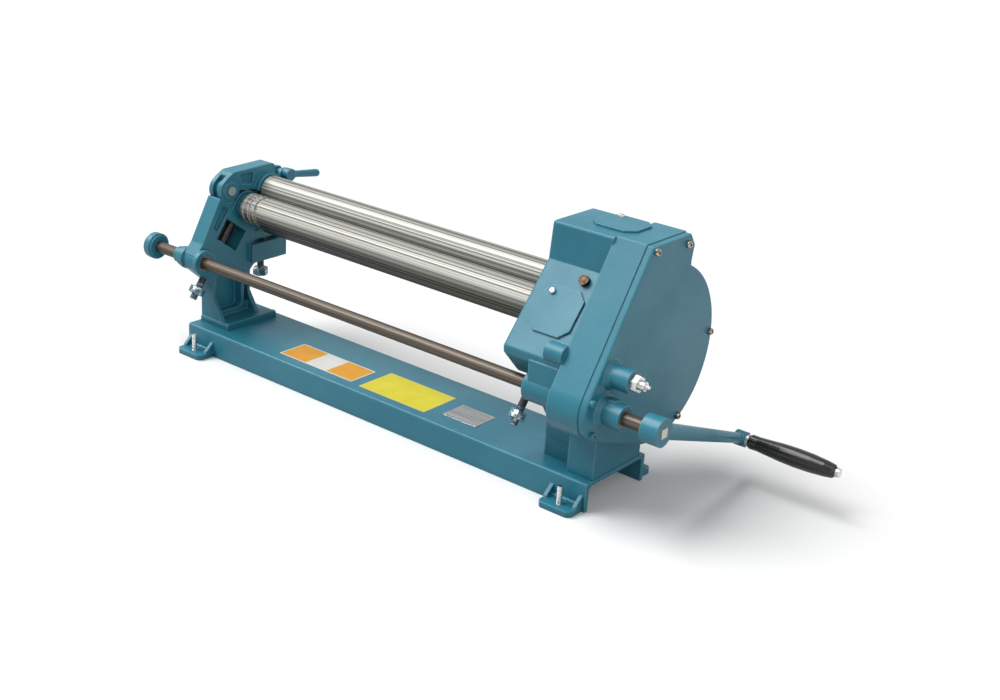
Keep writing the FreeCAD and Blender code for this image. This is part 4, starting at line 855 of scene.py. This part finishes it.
COVER_HEAD = 0.006
FACE_TOLERANCE = 0.0002
HEAD_REACH = 0.014
NOSE_EDGE = -0.060
cover_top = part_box("cover_screws")[1][0]
cover_face = cover_top - COVER_HEAD
cover_places = head_centres(
    "cover_screws", lambda point: point.x > cover_top - FACE_TOLERANCE, HEAD_REACH)
cover_frame = axis_frame((cover_face, 0, 0), (1, 0, 0))
for name, finish, painted in (("cover_cap_screws", oiled_screw, False),
                              ("painted_cap_screws", casting_enamel, True)):
    cover_points = [tuple(cover_frame.inverted() @ Vector((cover_face, place.y, place.z)))
                    for place in cover_places if (place.y < NOSE_EDGE) == painted]
    cap = copy_onto(name, cap_screw("cap_screw", 0.004, 0.0056, COVER_HEAD, 0.005, 0.010),
                    cover_points, cover_frame, finish, "base")
    if not painted:
        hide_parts("cover_screws")

# %% [markdown]
# ### Plate screws
#
# Each of the two inspection plates is held by one bright domed screw.

# %% Make the plate screws
PLATE_HEAD_SINK = 0.0025
for node, normal in (("top_plate_screw", (0, 0, 1)), ("front_plate_screw", None)):
    low, high = (Vector(corner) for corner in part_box(node))
    if normal is None:
        plate_low, plate_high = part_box("front_plate")
        run = Vector((0, plate_high[1] - plate_low[1], plate_high[2] - plate_low[2]))
        normal = Vector((1, 0, 0)).cross(run).normalized()
    middle = (low + high) / 2
    seat = middle - Vector(normal) * PLATE_HEAD_SINK
    screw = cap_screw("domed_screw", 0.0026, 0.005, 0.0048, 0.003, 0.001)
    domed = copy_onto(node + "_domed", screw, [(0, 0, 0)], axis_frame(seat, normal),
                      plated_screw, "base")
    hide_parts(node)

# %% [markdown]
# ### Threads
#
# Foot studs, the idler's stud and the adjusting screws show their threads. A thread is a ridge wound
# round the bar: a spiral curve with a small four-sided profile. Its depth is a few tenths of a
# millimetre, enough to catch the light in steps.

# %% Wind the threads
STUD_THREAD = {"Radius": 0.0039, "Pitch": 0.00125, "Depth": 0.00042}
IDLER_THREAD = {"Radius": 0.0069, "Pitch": 0.0015, "Depth": 0.0005}
SCREW_THREAD = {"Radius": 0.0059, "Pitch": 0.00175, "Depth": 0.00045}
FOOT_TOP = 0.009
STUD_RADIUS = 0.0051
SLIDE_ANGLE = math.radians(54)
BEND_HEAD_RADIUS = 0.006
STUD_THREAD_START, STUD_THREAD_CUT = 0.0008, 0.0018
BEND_THREAD_START, BEND_THREAD_CUT = 0.046, 0.0475
LOWER_THREAD_START = 0.0155
THREAD_GAP = 0.001


def wind(name, points, stand, thread, length, finish, body):
    """Wind one kind of thread over a length from each point."""
    run_tree(name, winding, points, [], stand, dict(thread, Length=length), finish, body)


stud_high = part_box("foot_studs")[1]
stud_x = stud_high[0] - STUD_RADIUS
stud_y = stud_high[1] - STUD_RADIUS
stud_points = [(side_x * stud_x, side_y * stud_y, FOOT_TOP + STUD_THREAD_START)
               for side_x in (-1, 1) for side_y in (-1, 1)]
wind("foot_stud_threads", stud_points, Matrix.Identity(4), STUD_THREAD,
     stud_high[2] - FOOT_TOP - STUD_THREAD_CUT, plated_screw, "base")

idler_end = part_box("idler_stud")[1][0]
nut_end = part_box("idler_nut")[1][0]
idler_y, idler_z = box_middle("idler_stud")[1:]
wind("idler_stud_thread", [(0, 0, 0)], axis_frame((nut_end, idler_y, idler_z), (1, 0, 0)),
     IDLER_THREAD, idler_end - nut_end - THREAD_GAP, plated_screw, "base")

slide_down = Vector((0, -math.cos(SLIDE_ANGLE), -math.sin(SLIDE_ANGLE)))
roll_y, roll_z = box_middle("bending_roll")[1:]
for side in ("left", "right"):
    end_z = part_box("bend_screw_" + side)[0][2] + BEND_HEAD_RADIUS * math.cos(SLIDE_ANGLE)
    roll_middle = Vector((box_middle("bend_screw_" + side)[0], roll_y, roll_z))
    reach = (roll_middle.z - end_z) / math.sin(SLIDE_ANGLE)
    start = roll_middle + slide_down * BEND_THREAD_START
    wind("bend_screw_thread_" + side, [(0, 0, 0)], axis_frame(start, slide_down), SCREW_THREAD,
         reach - BEND_THREAD_CUT, gear_iron, "bend_" + side + "_screw")
    low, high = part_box("lower_screw_" + side)
    lower_x, lower_y = box_middle("lower_screw_" + side)[:2]
    start = Vector((lower_x, lower_y, low[2] + LOWER_THREAD_START))
    wind("lower_screw_thread_" + side, [(0, 0, 0)], axis_frame(start, (0, 0, 1)), SCREW_THREAD,
         high[2] - start.z - THREAD_GAP, gear_iron, "lower_" + side + "_screw")

# %% [markdown]
# ### Slide cover
#
# Seen from the front, the slot of the bending roll's slide is black behind its screw. A thin dark
# plate on the outer face of the end frame closes the slot, and four button screws hold it; the
# plate's dark finish is painted shade for the inside of the slot. It is drawn flat, along and across
# the slide, and one matrix stands it on the frame.

# %% Make the slide cover and its screws
COVER_ALONG = (-0.087, -0.036)
COVER_HALF = 0.0345
COVER_THICK = 0.0016
COVER_CORNER = 0.004
COVER_NIP = 0.0004
COVER_SCREW_INSET = 0.0040
slide_zero = Vector((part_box("top_yoke")[0][0], roll_y, roll_z))
slide_up = Vector((0, math.cos(SLIDE_ANGLE), math.sin(SLIDE_ANGLE)))
outward = Vector((-1, 0, 0))
slide_axes = Matrix((slide_up, outward.cross(slide_up), outward)).transposed()
slide_frame = Matrix.Translation(slide_zero) @ slide_axes.to_4x4()
cover_middle = sum(COVER_ALONG) / 2
cover_length = (COVER_ALONG[1] - COVER_ALONG[0]) / 2
slide_cover = skin("slide_cover", [
    rounded_ring(cover_length, COVER_HALF, COVER_CORNER, 0),
    rounded_ring(cover_length, COVER_HALF, COVER_CORNER, COVER_THICK - COVER_NIP),
    rounded_ring(cover_length - COVER_NIP, COVER_HALF - COVER_NIP, COVER_CORNER - COVER_NIP,
                 COVER_THICK)])
slide_cover.transform(slide_frame @ Matrix.Translation((cover_middle, 0, 0)))
# The plate's dark finish is painted shade for the inside of the slot.
add_piece("slide_cover", slide_cover, "base", gear_iron)
cover_spots = [(cover_middle + side_x * (cover_length - COVER_SCREW_INSET),
                side_y * (COVER_HALF - COVER_SCREW_INSET), 0)
               for side_x in (-1, 1) for side_y in (-1, 1)]
button = cap_screw("button_screw", 0.0012, 0.0026, 0.0018, 0.0022, 0.001)
copy_onto("slide_cover_screws", button, cover_spots,
          slide_frame @ Matrix.Translation((0, 0, COVER_THICK)), plated_screw, "base")

# %% [markdown]
# ### Oil nipple
#
# The idler turns on a fixed stud, and oil reaches it through a small nipple in the stud's end. It is
# a turned piece, so its profile is a row of rings on the stud's axis.

# %% Turn the oil nipple
NIPPLE_STEPS = ((0.0045, -0.001), (0.0045, 0.0018), (0.0027, 0.0022), (0.0026, 0.0036),
                (0.0033, 0.0044), (0.0033, 0.0056), (0.0023, 0.0066), (0.0010, 0.0069))
nipple = skin("oil_nipple", [circle_ring(radius, height) for radius, height in NIPPLE_STEPS])
nipple.transform(axis_frame((idler_end, idler_y, idler_z), (1, 0, 0)))
add_piece("oil_nipple", nipple, "base", plated_screw)

# %% [markdown]
# ### Weld beads
#
# The four foot plates are welded to the channel. A weld is a row of overlapping droplets, each a
# little different, laid along the corner of the foot and the channel's wall.

# %% Lay the welds
UPRIGHT_INSET, LEVEL_INSET = 0.003, 0.004
WELD_BOTTOM = FOOT_TOP * 0.4
WELD_TOP = FOOT_TOP + 0.002
WELD_LEVEL = FOOT_TOP + 0.0005
weld_points = []
weld_lines = []


def lay_line(start, end):
    """Add one straight weld between two points."""
    weld_lines.append((len(weld_points), len(weld_points) + 1))
    weld_points.extend([start, end])


for node in ("foot_front_left", "foot_back_left", "foot_front_right", "foot_back_right"):
    low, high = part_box(node)
    wall = high[1] if high[1] < 0 else low[1]
    for x in (low[0] + UPRIGHT_INSET, high[0] - UPRIGHT_INSET):
        lay_line((x, wall, WELD_BOTTOM), (x, wall, WELD_TOP))
    lay_line((low[0] + LEVEL_INSET, wall, WELD_LEVEL), (high[0] - LEVEL_INSET, wall, WELD_LEVEL))
run_tree("foot_welds", weld, weld_points, weld_lines, Matrix.Identity(4),
         {"Step": 0.0026, "Width": 0.0042, "Height": 0.0032}, channel_enamel, "base",
         WELD_SHARP)

# %% [markdown]
# ### Bare plates on the channel
#
# Three thin plates lie on the channel, one orange and white, one yellow and one of brushed metal.
# They are left bare. The two coloured ones are printed film with a pale border, drawn by a mask that
# is 1 inside a rectangle, and the metal one has four drive pins.


# %% Build the rectangle mask and the films
EDGE_BLUR = 0.0002
FADED_SHARE = 0.93
panel, panel_in, panel_out = new_group("panel_mask", [
    ("Middle X", FLOAT, 0.0), ("Middle Y", FLOAT, 0.0),
    ("Half X", FLOAT, 0.05), ("Half Y", FLOAT, 0.02),
], [("Inside", FLOAT)])
panel_axes = split_axes(panel, object_place(panel))
inside_parts = []
for axis in ("X", "Y"):
    away = calculate(panel, "SUBTRACT", panel_axes[axis], panel_in.outputs["Middle " + axis])
    away = calculate(panel, "ABSOLUTE", away)
    depth = calculate(panel, "SUBTRACT", panel_in.outputs["Half " + axis], away)
    inside_parts.append(spread(panel, depth, -EDGE_BLUR, EDGE_BLUR))
wire(panel, calculate(panel, "MULTIPLY", *inside_parts), panel_out.inputs["Inside"])


def printed_film(name, border, fields):
    """A satin film; fields are (middle x, middle y, half x, half y, colour), later ones on top."""
    material, tree, shader = new_finish(name, roughness=0.45, coat=0.05,
                                        coat_roughness=0.25, specular=0.3)
    colour = (*border, 1)
    for x, y, half_x, half_y, tint in fields:
        mask = use_group(tree, panel, Middle_X=x, Middle_Y=y, Half_X=half_x, Half_Y=half_y)
        faded = tuple(FADED_SHARE * part for part in tint)
        fade = use_group(tree, mottle, Colour_A=(*tint, 1), Colour_B=(*faded, 1), Size=30.0)
        colour = blend_colours(tree, mask.outputs["Inside"], colour, fade.outputs["Colour"])
    wire(tree, colour, shader.inputs["Base Color"])
    grip_marks = use_group(tree, grain, Coarse_Size=60.0, Fine_Size=700.0)
    wire(tree, spread(tree, grip_marks.outputs["Height"], 0.3, 1.0, 0.34, 0.50),
         shader.inputs["Roughness"])
    add_bump(tree, shader, grip_marks.outputs["Height"], 0.06, 0.0003)
    return material


# %% Lay the three plates
CHANNEL_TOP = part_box("base_channel")[1][2]
ORANGE_X, ORANGE_Y = (-0.223, -0.056), (-0.055, 0.004)
YELLOW_X, YELLOW_Y = (-0.036, 0.105), (-0.059, 0.020)
METAL_X, METAL_Y = (0.129, 0.196), (-0.043, 0.008)
FILM_THICK, FILM_CORNER = 0.0004, 0.002
METAL_THICK, METAL_CORNER = 0.0008, 0.0025
FILM_BORDER = 0.0022
WHITE_BAND_HALF = 0.024
NIP_SHARE = 0.3
PIN_INSET = 0.0045
ORANGE, YELLOW = (0.90, 0.40, 0.02), (0.86, 0.76, 0.03)
FILM_WHITE, YELLOW_BORDER = (0.84, 0.84, 0.80), (0.72, 0.66, 0.20)


def laid_plate(name, x_range, y_range, thickness, corner, finish):
    """A thin plate with round corners and a softened upper edge, lying on the channel."""
    half_x = (x_range[1] - x_range[0]) / 2
    half_y = (y_range[1] - y_range[0]) / 2
    nip = thickness * NIP_SHARE
    mesh = skin(name, [
        rounded_ring(half_x, half_y, corner, 0),
        rounded_ring(half_x, half_y, corner, thickness - nip),
        rounded_ring(half_x - nip, half_y - nip, corner - nip, thickness)])
    mesh.transform(Matrix.Translation((sum(x_range) / 2, sum(y_range) / 2, CHANNEL_TOP)))
    add_piece(name, mesh, "base", finish)


def film_field(x_range, y_range, tint):
    """The coloured field of a film, which is its rectangle less the border."""
    return (sum(x_range) / 2, sum(y_range) / 2, (x_range[1] - x_range[0]) / 2 - FILM_BORDER,
            (y_range[1] - y_range[0]) / 2 - FILM_BORDER, tint)


orange_field = film_field(ORANGE_X, ORANGE_Y, ORANGE)
white_band = (*orange_field[:2], WHITE_BAND_HALF, orange_field[3], FILM_WHITE)
orange_film = printed_film("orange_film", FILM_WHITE, [orange_field, white_band])
laid_plate("orange_plate", ORANGE_X, ORANGE_Y, FILM_THICK, FILM_CORNER, orange_film)

yellow_film = printed_film("yellow_film", YELLOW_BORDER, [film_field(YELLOW_X, YELLOW_Y, YELLOW)])
laid_plate("yellow_plate", YELLOW_X, YELLOW_Y, FILM_THICK, FILM_CORNER, yellow_film)

brushed_plate = streaked_steel("brushed_plate", (0.60, 0.61, 0.62), (0.42, 0.43, 0.45),
                               0.36, 240.0, along=1.5, metallic=0.85)
laid_plate("metal_plate", METAL_X, METAL_Y, METAL_THICK, METAL_CORNER, brushed_plate)

PIN_STEPS = ((0.0011, -0.0002), (0.0021, 0), (0.0019, 0.0006), (0.0012, 0.0010), (0.0004, 0.0011))
pin = skin("drive_pin", [circle_ring(radius, height, 16) for radius, height in PIN_STEPS])
pin_points = [(x, y, 0) for x in (METAL_X[0] + PIN_INSET, METAL_X[1] - PIN_INSET)
              for y in (METAL_Y[0] + PIN_INSET, METAL_Y[1] - PIN_INSET)]
copy_onto("plate_pins", pin, pin_points, Matrix.Translation((0, 0, CHANNEL_TOP + METAL_THICK)),
          plated_screw, "base")
print("The plates are laid")
